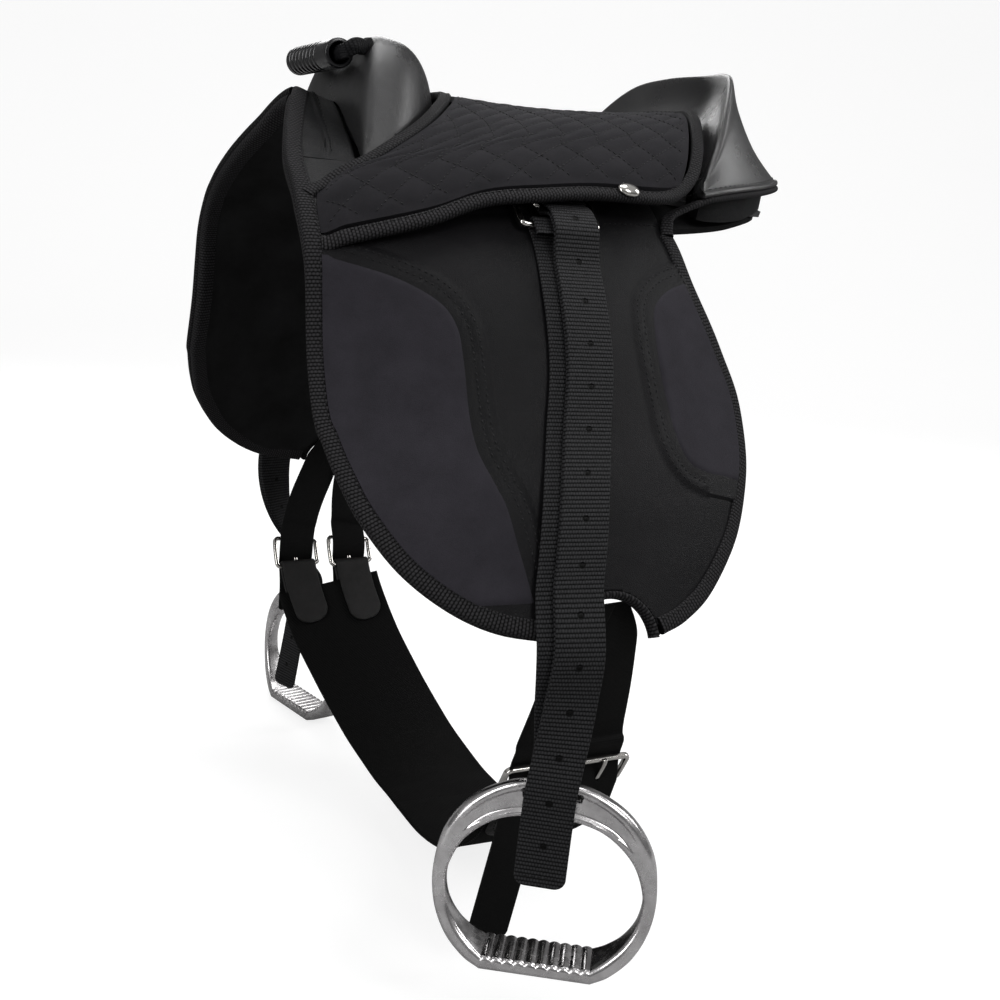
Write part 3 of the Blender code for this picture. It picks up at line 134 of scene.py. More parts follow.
# Sections of the tapes, as (distance inwards from the middle of the tape, height).
FLAP_TAPE = [
    (-4.5, -1.0), (-4.3, 0.3), (-3.6, 1.1), (-2.4, 1.5), (0.0, 1.6), (3.4, 1.5), (4.3, 1.2), (4.5, 0.6),
    (4.4, -0.4), (3.5, -2.2), (0.0, -2.9), (-2.6, -3.0), (-3.8, -2.6), (-4.4, -1.9),
]
PAD_TAPE = [
    (-4.9, -6.2), (-4.7, -4.6), (-3.9, -3.7), (-2.4, -3.3), (0.0, -3.2), (4.3, -3.2), (4.5, -4.0),
    (4.5, -8.4), (4.3, -9.2), (0.0, -9.5), (-2.4, -9.4), (-3.9, -8.9), (-4.7, -7.8), (-4.9, -7.0),
]
SEAT_TAPE = [
    (-3.5, -0.9), (-3.2, 0.3), (-2.3, 1.1), (0.0, 1.2), (3.0, 1.1), (3.5, 0.6), (3.5, -3.2), (2.7, -3.9),
    (-2.3, -3.9), (-3.3, -2.8),
]
# Where the stitching of the flap's and of the seat's tape lies on these sections.
TAPE_SEAM, SEAT_TAPE_SEAM = (3.1, 1.5), (2.2, 1.1)

# The arch in the lower edge where the girth straps come out.
NOTCH_X, NOTCH_HALF, NOTCH_TOP, NOTCH_RISE = -14.0, 26.0, -190.0, 24.0
NOTCH_LOW, NOTCH_DEPTHS = -262.0, (150.0, 272.0)
# The rolled tape in the arch: how thick it is along and across the face's normal, and where it lies.
NOTCH_TAPE, NOTCH_TAPE_REACH, NOTCH_TAPE_MIDDLE = (7.6, 4.4), 1.4, -2.6

# The inner edges of the patches, as (distance from the spine, x), and the drops that they span.
FRONT_PATCH = [
    (150, -134), (161, -103), (172, -85), (185, -77), (202, -75), (242, -74), (262, -68),
    (275, -63), (294, -59), (322, -54),
]
REAR_PATCH = [
    (147, 58), (154, 45), (163, 35), (173, 30), (192, 29), (218, 31), (239, 34), (251, 42),
    (255, 54),
]
PATCH_SPANS = {"knee": (150.2, 322.0), "thigh": (147.2, 254.8)}
# The folded band round a patch, and its rows of stitches by their distance from the patch.
PATCH_BAND, STITCH_ROWS = 10.5, (4.2, 8.2)
# Heights of the flap's slow waves and of that band, and the depth and width of the dip at its stitches.
FLAP_WAVE, BAND_RISE, DIP_DEEP, DIP_WIDE = 0.35, 1.3, 0.45, 0.8

# Seat cover: borders as (fraction from spine to border, x), and heights above the flap face.
SEAT_FRONT = [
    (0, -43), (0.1, -48), (0.29, -62), (0.44, -79), (0.6, -106), (0.72, -130), (1, -136.6),
]
SEAT_REAR = [(0, 127), (0.33, 113), (0.6, 97), (0.83, 82), (1, 68)]
SEAT_DROP = [(-136, 149), (-90, 139), (-61, 129), (-29, 124), (3, 118), (41, 113), (74, 102)]
SEAT_BORDER_LIFT = [(0, 4.5), (0.25, 10), (0.45, 15.5), (0.75, 15.5), (1, 14)]
SEAT_CREST_LIFT = [(0, 26), (0.5, 37), (1, 50)]
SEAT_THICK, SEAT_BINDING = 3.2, 7.0
QUILT_CELLS, QUILT_FINE, QUILT_DEPTH = (18, 24), 8, 0.78
SEAT_START, SEAT_END = 0.054, 0.947
# The filling's half width and its span from front to rear, as g and t.
FOAM_HALF, FOAM_SPAN = 0.56, (0.1, 0.93)
# Half the seat's width round its crest, and the size of a whole step of (g, t) on the seat.
SEAT_HALF_ROUND = 115.0
SEAT_SPAN = np.array([SEAT_HALF_ROUND, 210.0])
# How the quilt runs on under the front edge's tape: from border to border, front to rear, and down.
TUCK_SPAN, TUCK_DEEP, TUCK_DROP, TUCK_REACH = (0.6, 0.71), 0.05, 3.6, 0.066
# The front edge's tape as (g, t), out to where it goes under the flap's tape, and the side tape's start.
TAPE_FRONT = [(0, 0.02), (0.3, 0.02), (0.6, 0.02), (0.66, 0.010), (0.70, -0.006), (0.76, -0.035)]
TAPE_SIDE_START = -0.008
# Points of a tape's line, at each end, that its stitching leaves out.
SEAM_STOP = 6
# The oval studs: place as (g, t), height, stretch across and along, and section as (radius, height).
STUD_PLACE, STUD_LIFT, STUD_OVAL = (0.965, 0.78), 2.1, (0.9, 1.3)
STUD_PROFILE = [(5.0, -0.6), (5.1, 0.2), (4.9, 0.9), (4.2, 1.6), (3.0, 2.2), (1.6, 2.5), (0.2, 2.6)]

# The pommel's peak height by distance from the centre line.
POMMEL_RISE = [
    (0, 26), (7, 29), (15, 38), (24, 46.5), (32, 49), (40, 47.5), (48, 42), (55, 34), (61, 25),
    (67, 16), (72, 8), (75, 4),
]
POMMEL_FRONT, POMMEL_FLARE, POMMEL_BASE, POMMEL_HALF = -99.0, 8.0, 1.6, 75.0
# Half widths at which the front edge of the pommel and of the facing below it have flared in full.
POMMEL_FLARE_HALF, FACING_FLARE_HALF, FACING_SEAM_HALF = 85.0, 80.0, 72.0
# Points of the pommel's underside, as shares of the way from its front to its rear.
POMMEL_UNDER = [0.85, 0.65, 0.5, 0.35, 0.15]
POMMEL_PEAK, POMMEL_POWER_FRONT, POMMEL_POWER_REAR = 0.42, 2.8, 2.5
# The raised band of the facing below the pommel.
LIP_WIDTH, LIP_RISE = 15.0, 1.3

# The cantle's inner edge, rim and flange as (x, y, z), from the middle to a wing's tip.
CANTLE_INNER = [(133, 0, 50), (122, 31, 47), (110, 53, 38), (98, 73, 23), (89, 85, 11), (80, 95, 0)]
CANTLE_RIM = [(143, 0, 75), (136, 31, 74), (125, 55, 68), (112, 74, 51), (100, 87, 29), (85, 98, 5)]
CANTLE_FLANGE = [(186, 0, 16), (180, 32, 15), (164, 59, 13), (138, 82, 9), (108, 98, 5), (80, 106, 0)]
# Its section up over the rim and down to the flange: place between those lines (0, 1 and 2),
# offsets outward and up, then offsets that fade out toward the wing tips.
CANTLE_SECTION = [
    (0, 1.0, -5.0, 0, 0), (0, 1.0, 0, 0, 0), (0.55, 0, 0, 2.0, -2.5), (1, -1.4, -0.8, 0, 0),
    (1, 0.4, 0, 0, 0), (1, 2.0, -1.2, 0, 0), (1.3, 0, 0, -6.3, 0), (1.68, 0, 0, -9.0, 0),
    (2, -3.0, 1.8, 0, 0), (2, 0, 1.2, 0, 0), (2, 0, -1.6, 0, 0), (2, -7.0, -1.6, 0, 0),
]
CANTLE_END, CANTLE_SOFT = 0.98, 0.15
CANTLE_TAPE, CANTLE_TAPE_OUT, CANTLE_TAPE_UP, CANTLE_TAPE_END = (7.0, 3.4), -2.7, -3.7, 0.95
CANTLE_SEAM_OUT, CANTLE_SEAM_UP, CANTLE_SEAM_NORMAL = -3.4, 2.0, (0.2, 0.0, 1.0)
# The tape's run down to the flap's rear tape, as (x, distance from the crest, height above the face).
CANTLE_TAPE_DROP = [(56.5, 119, 1.2), (58, 112, 2.4), (64, 104, 4.2)]
CANTLE_PANEL_OUT, CANTLE_PANEL_UP, CANTLE_PANEL_END = (-9.0, -18.0), -2.4, 0.92
CANTLE_PANEL_LEAN, CANTLE_PANEL_FOOT = 1.5, 0.6

STRAP_WIDTH, STRAP_THICK, GAP = 25.0, 1.7, 0.4
# A stirrup strap's line: on the flap as (x, distance from the spine), then free as (x, y, z).
STRAP_LINE = {
    "near": [(-10, 92), (-10, 123), (-12, 166), (-14, 206), (-20, 240), (-27, 275), (-35, 318)],
    "far": [(-10, 92), (-10, 123), (-14, 166), (-24, 206), (-36, 240), (-46, 275), (-55, 318)],
}
STRAP_FREE = {
    "near": [(-37, 220, -215), (-38, 220, -240), (-39, 219, -268), (-40, 218, -300), (-42, 217, -420)],
    "far": [
        (-56, 219, -215), (-54, 218, -238), (-46, 217, -262), (-32, 215, -286), (-22, 213, -303),
        (-21, 213, -319), (-21, 213, -332), (-26, 213, -370), (-34, 214, -420),
    ],
}
# Its turn about the upright, as (z, degrees), and the first layer's height by drop.
STRAP_TWIST = {
    "near": [(-60, 0), (-206, 6), (-275, 34)],
    "far": [
        (-60, 0), (-206, 8), (-236, 22), (-262, 48), (-286, 80), (-306, 104), (-334, 104), (-420, 112),
    ],
}
STRAP_HEIGHTS = [(92, 1.3), (250, 1.6), (290, 4.6), (500, 4.6)]
STRAP_PLY = STRAP_THICK + GAP
STRAP_HUMP = [(104, 0.0), (117, 0.6), (121, 3.6), (127, 7.0), (137, 7.0), (143, 3.6), (152, 0.0)]
# How the second layer lies above the first, and the third above the second, where the buckle is.
STRAP_SECOND = [(104, 0.7), (117, 0.7), (127, STRAP_PLY)]
STRAP_THIRD = [(104, 6.4), (117, 6.1), (127, STRAP_PLY)]
STRAP_OPEN = [(0, 9.0), (20, 4.4), (48, 0.0)]
TAIL_LENGTHS = {"near": 50.0, "far": 76.0}
BACK_PLY_SHIFT = {"near": 8.0, "far": 0.0}
SHIFT_END, SHIFT_FADE = 15.0, 50.0
RING_LEFT, RING_RIGHT, RING_TOP, RING_DROP, RING_LIFT, RING_WIRE = -25.5, 18.5, 98.0, 128.0, 4.2, 3.5
# The ring's visible part as (shift aside, drop, height), from its left end to its right one.
RING_PATH = [
    (RING_LEFT, RING_TOP, 3.4), (RING_LEFT, RING_DROP - 10, 4.0),
    (RING_LEFT + 0.3, RING_DROP - 3, RING_LIFT), (RING_LEFT + 3, RING_DROP, RING_LIFT),
    (-4, RING_DROP, RING_LIFT), (RING_RIGHT - 3, RING_DROP, RING_LIFT),
    (RING_RIGHT - 0.3, RING_DROP - 3, RING_LIFT), (RING_RIGHT, RING_DROP - 10, 4.0),
    (RING_RIGHT, RING_TOP, 3.4),
]
STRAP_BUCKLE_DROP, STRAP_BUCKLE_LONG, STRAP_BUCKLE_WIRE, WRAP_CLEAR = 100.0, 15.0, 2.8, 0.3
# The tongue's width and thickness, and its line as (distance, height) from the buckle's bar.
STRAP_TONGUE, STRAP_TONGUE_PATH = (2.4, 1.0), [(2.2, 0.6), (8, 1.5), (15, 2.3), (17, 2.1)]
HEM_HALF, HEM_FROM_END = 9.5, 5.0
# Punched holes: their pitch along the strap, and the inner and outer edge of their rims in metres.
HOLE_PITCH, HOLE_RIM = 22.0, (0.0013, 0.0019)

IRON_BAR_Z = {"near": -278.0, "far": -319.0}
# Half of the iron's outer and inner outline as (across, up) from its bar, and its depths along them.
IRON_OUTER = [
    (0, 2.3), (20, -1.2), (38, -11.7), (50, -28.7), (54, -48.7), (52.5, -66.7), (46, -81.7),
    (36, -91.7), (27, -95.7),
]
IRON_INNER = [
    (0, -16.7), (16, -18.2), (29, -23.2), (41, -34.7), (47.3, -50.7), (46.2, -64.7), (40.5, -76.2),
    (33, -84.2), (26, -89.2),
]
IRON_DEPTHS = [7, 7.5, 9, 10, 10, 11, 15, 20, 24]
SLOT_WIDTH, SLOT_TOP, SLOT_BOTTOM = 26.4, -2.3, -7.4
TREAD_RIBS, TREAD_RISE = 10, 1.1
# The iron's rim and band, the recess between them, and the share of a side where it runs out.
RIM_WIDTH, BAND_WIDTH, WEB_RECESS, WEB_END = 4.4, 3.6, 2.0, (0.24, 0.36)

GIRTH_WIDTH, GIRTH_THICK, GIRTH_SEAM = 78.0, 3.2, 34.5
TWILL_RIDGE, TWILL_STEP = 1.9, 1.1
# The two halves of the girth as (x, y, z), from the bottom up.
GIRTH_LINES = {
    "near": [
        (8, 0, -399), (6, -40, -396), (3, -85, -384), (-1, -128, -356), (-4, -151, -329),
        (-4, -165, -304), (-7, -185, -262), (-12, -202, -220), (-14, -206, -198),
    ],
    "far": [
        (8, 0, -399), (5, 40, -394), (-4, 85, -375), (-18, 128, -340), (-29, 151, -307),
        (-34, 165, -278), (-30, 184, -248), (-18, 201, -218), (-14, 206, -198),
    ],
}
GIRTH_BAR_Z = {"near": -314.0, "far": -283.0}
BAND_STOP = 14.0
BUCKLE_HALF, BUCKLE_LONG, BUCKLE_WIRE, BUCKLE_SPACING = 15.3, 20.0, 3.4, 41.0
BILLET_WIDTH, BILLET_THICK = 25.0, 1.6
BILLET_SPREAD = [(0.0, 20.5), (0.2, 20.0), (0.84, 11.0), (1.0, 3.4)]
BILLET_LAYERS = {"front": -3.9, "rear": -6.0}
BILLET_TAILS = {"near": (86.0, 24.0), "far": (34.0, 26.0)}
BILLETS_PART = 42.0
# Where a billet's tail starts to hang free, and distances from there to points further down.
HANG_FROM, HANG_STEPS = -4.0, (110.0, 30.0, 10.0)
TAIL_LEAN = {"near": -0.2, "far": 0.0}
TONGUE_WIDTH, TONGUE_THICK = 2.6, 1.6
# Lines of (distance from the buckle's bar, height): the strap through the buckle, tongue and its hole.
BILLET_THROUGH = [(30.0, -1.9), (26.0, -1.6), (20.0, -1.5), (15.0, -0.6), (9.0, 2.4)]
TONGUE_PATH = [(-0.8, 3.0), (10.0, 3.95), (17.0, 4.7), (22.6, 4.6)]
TONGUE_HOLE = [(-1.4, 3.0), (17.0, 4.7), (24.0, 4.6)]
# The leather tab: its size, its stops along the band, and half of its seam as (distance, aside).
TAB_WIDTH, TAB_THICK = 25.0, 1.8
TAB_STOPS = [-44.0, -39.0, -30.0, -22.0, -10.0, -2.0]
TAB_SEAM = [(-40.0, 0.0), (-36.0, 7.0), (-28.0, 9.5), (-8.0, 9.5)]

HANDLE_X, HANDLE_Y, HANDLE_CLEAR = -91.0, 36.0, 3.9
BRAID_LINE = [(-97, 40, 60.5), (-103, 44.5, 59.5), (-107.5, 43.5, 57.0), (-108.5, 38, 56)]
BRAID_SINK = 4.2
# Width and thickness of the braid, from the middle of the grip to its ends.
BRAID_WIDTH = [(0, 8.0), (0.55, 8.4), (0.75, 8.6), (0.9, 8.0), (1, 6.5)]
BRAID_THICK = [(0, 5.0), (0.55, 5.0), (0.75, 5.4), (1, 4.2)]
BRAID_PITCH, BRAID_SWELL = 13.0, 0.09
GRIP_X, GRIP_Z, GRIP_HALF, GRIP_RADIUS, GRIP_BORE = -108.5, 56.0, 37.0, 7.8, 5.6
GRIP_RIB_SPAN, GRIP_RIB_COUNT, GRIP_GROOVE = (-16.0, 31.0), 7, 1.9

STITCH_LONG, STITCH_PITCH, STITCH_WIDE = 2.5, 3.4, 0.75


# Lines and frames

def unit(vectors):
    vectors = np.asarray(vectors, float)
    return vectors / np.maximum(np.linalg.norm(vectors, axis=-1, keepdims=True), 1e-12)


def table(pairs, value):
    """The second number of the pairs at these values of the first, on straight lines."""
    ordered = sorted(map(tuple, pairs))
    return np.interp(value, [p[0] for p in ordered], [p[1] for p in ordered])


def catmull(points, steps):
    """A smooth line through the points, with this many steps between two of them."""
    points = np.asarray(points, float)
    line = np.vstack([2 * points[0] - points[1], points, 2 * points[-1] - points[-2]])
    t = (np.arange(steps) / steps)[:, None]
    out = []
    for a, b, c, d in zip(line, line[1:], line[2:], line[3:]):
        out.append(0.5 * (2 * b + (c - a) * t + (2 * a - 5 * b + 4 * c - d) * t**2
                          + (3 * b - a - 3 * c + d) * t**3))
    return np.vstack([*out, points[-1:]])


def run_of(points):
    """Distance along a line at each of its points."""
    steps = np.linalg.norm(np.diff(np.asarray(points, float), axis=0), axis=1)
    return np.concatenate([[0.0], np.cumsum(steps)])


def at_runs(points, runs, own=None):
    own = run_of(points) if own is None else own
    points = np.asarray(points, float)
    return np.column_stack([np.interp(runs, own, points[:, k]) for k in range(points.shape[1])])


def evenly(points, step):
    run = run_of(points)
    return at_runs(points, np.linspace(0, run[-1], max(2, round(run[-1] / step) + 1)), run)


def circle(count):
    return 2 * np.pi * np.arange(count) / count


def tangents(points, closed=False):
    if closed:
        return unit(np.roll(points, -1, 0) - np.roll(points, 1, 0))
    return unit(np.gradient(np.asarray(points, float), axis=0))


def right_of(line):
    """The direction to the right of a flat line's direction of travel, at each of its points."""
    along = tangents(line)
    return np.column_stack([along[:, 1], -along[:, 0]])


def inset(outline, distance):
    """The outline moved inwards, to the right of its direction of travel."""
    return np.array(outline, float) + distance * right_of(outline)


# The face that pad, flap and seat lie on

FACE_STEP = 2.0
FACE_X = np.arange(-166.0, 204.0, FACE_STEP)
FACE_S = np.arange(0.0, 352.0)


def section_at(x):
    weights = []
    stations = (FRONT_X, MID_X, REAR_X)
    for own in stations:
        weights.append(math.prod((x - o) / (own - o) for o in stations if o != own))
    sections = (FRONT_SECTION, MID_SECTION, REAR_SECTION)
    control = sum(w * np.array(s, float) for w, s in zip(weights, sections))
    line = catmull(np.vstack([[-control[1][0], control[1][1]], control]), 12)[12:]
    return at_runs(line, FACE_S)


FACE = np.array([section_at(x) for x in FACE_X])


def on_face(x, s):
    """Points of the flap face at x, at a distance s from the spine (negative on the near side)."""
    x, s = np.broadcast_arrays(np.asarray(x, float), np.asarray(s, float))
    i = np.clip((x - FACE_X[0]) / FACE_STEP, 0, len(FACE_X) - 1.001)
    j = np.clip(np.abs(s), 0, len(FACE_S) - 1.001)
    a, b = i.astype(int), j.astype(int)
    u, v = (i - a)[..., None], (j - b)[..., None]
    flat = ((1 - u) * (1 - v) * FACE[a, b] + u * (1 - v) * FACE[a + 1, b]
            + (1 - u) * v * FACE[a, b + 1] + u * v * FACE[a + 1, b + 1])
    return np.stack([x, np.where(s < 0, -1, 1) * flat[..., 0], flat[..., 1]], -1)


def face_normal(x, s):
    reach = 2.0
    x, s = np.broadcast_arrays(np.asarray(x, float), np.asarray(s, float))
    across = on_face(x, s + reach) - on_face(x, s - reach)
    along = on_face(x + reach, s) - on_face(x - reach, s)
    normal = unit(np.cross(along, across))
    point = on_face(x, s)
    outward = point - np.stack([x, np.zeros_like(x), np.full_like(x, BODY_CORE_Z)], -1)
    return normal * np.where((normal * outward).sum(-1) < 0, -1, 1)[..., None]


def lifted(x, s, height):
    """Points at a height above the flap face."""
    return on_face(x, s) + np.asarray(height, float)[..., None] * face_normal(x, s)


def drop_at(x, y):
    """The distance from the spine where the face is y wide, for the top of the saddle."""
    x, y = np.broadcast_arrays(np.asarray(x, float), np.asarray(y, float))
    out = np.empty(x.shape)
    for place in np.ndindex(x.shape):
        row = FACE[int(np.clip(round((x[place] - FACE_X[0]) / FACE_STEP), 0, len(FACE_X) - 1))]
        out[place] = math.copysign(np.interp(abs(y[place]), row[:, 0], FACE_S), y[place])
    return out


def top_height(x, y):
    return on_face(x, drop_at(x, y))[..., 2]


# Meshes

def add_object(name, data):
    made = bpy.data.objects.new(name, data)
    bpy.context.scene.collection.objects.link(made)
    return made


def add_mesh(name, points, faces, kind, uv=None, sharp=40.0):
    """An object of quads in millimetres. A closed one gets its faces pointing out."""
    points, faces = np.asarray(points, float).reshape(-1, 3), np.asarray(faces, int)
    a, b, c, d = (points[faces[:, k]] for k in range(4))
    volume = (a * np.cross(b, c)).sum() + (a * np.cross(c, d)).sum()
    if volume < 0:
        faces = faces[:, ::-1]
    mesh = bpy.data.meshes.new(name)
    mesh.vertices.add(len(points))
    mesh.vertices.foreach_set("co", (points * MM).astype(np.float32).ravel())
    mesh.loops.add(faces.size)
    mesh.loops.foreach_set("vertex_index", faces.ravel().astype(np.int32))
    mesh.polygons.add(len(faces))
    mesh.polygons.foreach_set("loop_start", np.arange(0, faces.size, 4, dtype=np.int32))
    mesh.update(calc_edges=True)
    if uv is not None:
        layer = mesh.uv_layers.new(name=UV_MAP)
        uv = np.asarray(uv, float).reshape(-1, 2)
        layer.data.foreach_set("uv", (uv[faces.ravel()] * MM).astype(np.float32).ravel())
    mesh.shade_smooth()
    mesh.set_sharp_from_angle(angle=math.radians(sharp))
    mesh.materials.append(MATERIALS[kind]())
    return add_object(name, mesh)


def ring_faces(rows, count, closed=False):
    """Quads of a tube of rows of count points, with ladders of quads over its two ends."""
    i = np.arange(rows if closed else rows - 1)[:, None]
    k = np.arange(count)[None, :]
    m, n = (k + 1) % count, (i + 1) % rows
    sides = np.stack(np.broadcast_arrays(i * count + k, i * count + m, n * count + m, n * count + k), -1)
    faces = [sides.reshape(-1, 4)]
    if not closed:
        r = np.arange(count // 2 - 1)
        start = np.column_stack([r + 1, r, count - 1 - r, count - 2 - r])
        faces += [start, start[:, ::-1] + (rows - 1) * count]
    return np.vstack(faces)


def tube(name, rings, kind, closed=False, uv=None, sharp=40.0):
    rings = np.asarray(rings, float)
    faces = ring_faces(len(rings), rings.shape[1], closed)
    return add_mesh(name, rings, faces, kind, uv, sharp)


def sheet(name, outer, inner, kind, uv=None, sharp=40.0):
    """A closed sheet between two grids of points, made as a tube of flat rings."""
    outer, inner = np.asarray(outer, float), np.asarray(inner, float)
    rings = np.concatenate([outer, inner[:, ::-1]], 1)
    if uv is not None:
        uv = np.concatenate([uv, uv[:, ::-1]], 1)
    return tube(name, rings, kind, False, uv, sharp)


def laid(along, across):
    """A map of every pair of a distance along and a distance across."""
    return np.stack(np.broadcast_arrays(along[:, None], across), -1)


def grid_uv(points):
    """Lengths along and across a grid of points."""
    points = np.asarray(points, float)
    along = np.linalg.norm(np.diff(points, axis=0), axis=-1).cumsum(0)
    across = np.linalg.norm(np.diff(points, axis=1), axis=-1).cumsum(1)
    along = np.vstack([np.zeros((1, points.shape[1])), along])
    across = np.column_stack([np.zeros(points.shape[0]), across])
    middle = points.shape[1] // 2
    return np.stack([along, across - across[:, middle:middle + 1]], -1)


def swept(name, points, across, profile, kind, closed=False, sharp=40.0):
    """A section of (across, up) points along a path. across is one direction, or one for each point."""
    points = np.asarray(points, float)
    along = tangents(points, closed)
    side = np.broadcast_to(np.asarray(across, float), points.shape)
    side = unit(side - (side * along).sum(-1, keepdims=True) * along)
    up = unit(np.cross(along, side))
    profile = np.asarray(profile, float)
    if profile.ndim == 2:
        profile = np.broadcast_to(profile, (len(points), *profile.shape))
    rings = points[:, None] + profile[..., :1] * side[:, None] + profile[..., 1:] * up[:, None]
    run = run_of(points)
    uv = np.stack([np.broadcast_to(run[:, None], profile.shape[:2]), profile[..., 0]], -1)
    return tube(name, rings, kind, closed, uv, sharp)


def wire(radius, sides=12, start=math.pi / 12):
    turn = circle(sides) + start
    return np.column_stack([radius * np.cos(turn), radius * np.sin(turn)])


def flat_profile(width, thick, corner=None, across=9, turn_steps=3):
    """A flat strap's section with rounded edges, as (across, up)."""
    corner = min(thick / 2, corner or thick / 2)
    w, t = width / 2 - corner, thick / 2 - corner
    top = [(a, thick / 2) for a in np.linspace(-w, w, across)]
    right = [(w + corner * math.sin(q), t + corner * math.cos(q))
             for q in np.linspace(0, math.pi / 2, turn_steps + 1)[1:]]
    half = top + right
    left = [(-w - corner * math.sin(q), t + corner * math.cos(q))
            for q in np.linspace(math.pi / 2, 0, turn_steps + 1)[:-1]]
    half = left + half
    return np.array(half + [(-a, -u) for a, u in half])


def stitches(name, rows, kind="thread", long=STITCH_LONG, pitch=STITCH_PITCH, wide=STITCH_WIDE):
    """Separate stitches along each row of (line, normals): short threads that dip in at their ends."""
    t = np.linspace(0, 1, 6)
    arch = np.sin(np.pi * t)
    turn = circle(6)[None, :, None]
    one = ring_faces(6, 6)
    points, faces = [], []
    for line, normals in rows:
        line = np.asarray(line, float)
        run = run_of(line)
        count = max(1, int(run[-1] / pitch))
        start = (run[-1] - count * pitch) / 2 + (pitch - long) / 2
        runs = (start + pitch * np.arange(count)[:, None] + long * t[None, :]).ravel()
        up = unit(at_runs(np.broadcast_to(normals, line.shape), runs, run))
        along = unit(at_runs(tangents(line), runs, run))
        side = unit(np.cross(along, up))
        rise = np.tile(wide * (0.5 * arch - 0.3 * (1 - arch)) - 0.15, count)
        radius = np.tile(wide * (0.25 + 0.25 * np.sqrt(arch.clip(0, 1))), count)
        centre = at_runs(line, runs, run) + rise[:, None] * up
        spokes = np.cos(turn) * side[:, None] + np.sin(turn) * up[:, None]
        rings = centre[:, None] + radius[:, None, None] * spokes
        base = sum(len(p) for p in points)
        points.append(rings.reshape(-1, 3))
        faces.append((one[None] + (np.arange(count) * 36)[:, None, None]).reshape(-1, 4) + base)
    return add_mesh(name, np.vstack(points), np.vstack(faces), kind)


def cut(target, cutter, operation="DIFFERENCE", crossed=False):
    """Applies a Boolean and removes the cutter. A crossed target touches itself."""
    step = target.modifiers.new("cut", "BOOLEAN")
    step.operation = operation
    step.object = cutter
    step.use_self = crossed
    mesh = bpy.data.meshes.new_from_object(
        target.evaluated_get(bpy.context.evaluated_depsgraph_get()))
    target.modifiers.clear()
    target.data = mesh
    bpy.data.objects.remove(cutter)
    return target


# Node materials

def add_node(tree, kind, inputs=None, **values):
    made = tree.nodes.new(kind)
    for key, value in values.items():
        setattr(made, key, value)
    for key, value in (inputs or {}).items():
        if isinstance(value, bpy.types.NodeSocket):
            tree.links.new(value, made.inputs[key])
        else:
            made.inputs[key].default_value = value
    return made


def rgba(colour):
    """A colour with its alpha, from one level of grey or from three numbers."""
    return (*np.broadcast_to(colour, 3).tolist(), 1.0)


def map_range(tree, value, low, high, out_low, out_high):
    values = {"Value": value, "From Min": low, "From Max": high, "To Min": out_low, "To Max": out_high}
    return add_node(tree, "ShaderNodeMapRange", values).outputs[0]


class Finish:
    """A material under construction, with short names for the nodes that every finish uses."""

    def __init__(self, name, colour, roughness, metallic, specular):
        self.material = bpy.data.materials.new(name)
        self.material.use_nodes = True
        self.material.diffuse_color = rgba(colour)
        self.tree = self.material.node_tree
        self.shader = self.tree.nodes["Principled BSDF"]
        self.put("Base Color", rgba(colour))
        self.put("Roughness", roughness)
        self.put("Metallic", metallic)
        self.put("Specular IOR Level", specular)
        self.place = add_node(self.tree, "ShaderNodeTexCoord").outputs["Object"]
        self.height = None

    def put(self, socket, value):
        if isinstance(value, bpy.types.NodeSocket):
            self.tree.links.new(value, self.shader.inputs[socket])
        else:
            self.shader.inputs[socket].default_value = value

    def math(self, operation, a, b=0.0, c=0.0):
        made = add_node(self.tree, "ShaderNodeMath", {0: a, 1: b, 2: c}, operation=operation)
        return made.outputs[0]

    def wave(self, turns):
        """Half sines above zero, one for each turn."""
        return self.math("ABSOLUTE", self.math("SINE", self.math("MULTIPLY", turns, math.pi)))

    def lay(self):
        """Distance along and across the cloth, in metres, from the piece's own map."""
        made = add_node(self.tree, "ShaderNodeUVMap", uv_map=UV_MAP)
        split = add_node(self.tree, "ShaderNodeSeparateXYZ", {0: made.outputs["UV"]})
        return split.outputs["X"], split.outputs["Y"]

    def noise(self, scale, detail=3.0, rough=0.55):
        values = {"Vector": self.place, "Scale": scale, "Detail": detail, "Roughness": rough}
        return add_node(self.tree, "ShaderNodeTexNoise", values).outputs[0]

    def cells(self, scale, feature="DISTANCE_TO_EDGE"):
        values = {"Vector": self.place, "Scale": scale}
        return add_node(self.tree, "ShaderNodeTexVoronoi", values, feature=feature).outputs["Distance"]

    def between(self, value, low, high, out_low=0.0, out_high=1.0):
        """value brought from one range to another, held at its ends."""
        return map_range(self.tree, value, low, high, out_low, out_high)

    def mix(self, factor, first, second):
        made = add_node(self.tree, "ShaderNodeMix", {"Factor": factor}, data_type="RGBA")
        for socket, colour in ((6, first), (7, second)):
            if isinstance(colour, bpy.types.NodeSocket):
                self.tree.links.new(colour, made.inputs[socket])
            else:
                made.inputs[socket].default_value = rgba(colour)
        return made.outputs[2]

    def tint(self, factor, first, second):
        self.put("Base Color", self.mix(factor, first, second))

    def bump(self, height, distance, strength=1.0):
        """Adds relief of this many metres on top of the relief so far."""
        values = {"Height": height, "Distance": distance, "Strength": strength}
        if self.height:
            values["Normal"] = self.height
        self.height = add_node(self.tree, "ShaderNodeBump", values).outputs[0]
        self.put("Normal", self.height)

    def grain(self, distance, strength, *noise):
        """Relief from a noise."""
        self.bump(self.noise(*noise), distance, strength)

    def pores(self, distance, strength, scale, edge):
        """Relief of small cells with grooves between them."""
        self.bump(self.between(self.cells(scale), 0.0, edge), distance, strength)

    def rub(self, low, high, *noise):
        """Roughness that wanders between two values with a noise."""
        self.put("Roughness", self.between(self.noise(*noise), 0.3, 0.7, low, high))


MATERIALS = {}


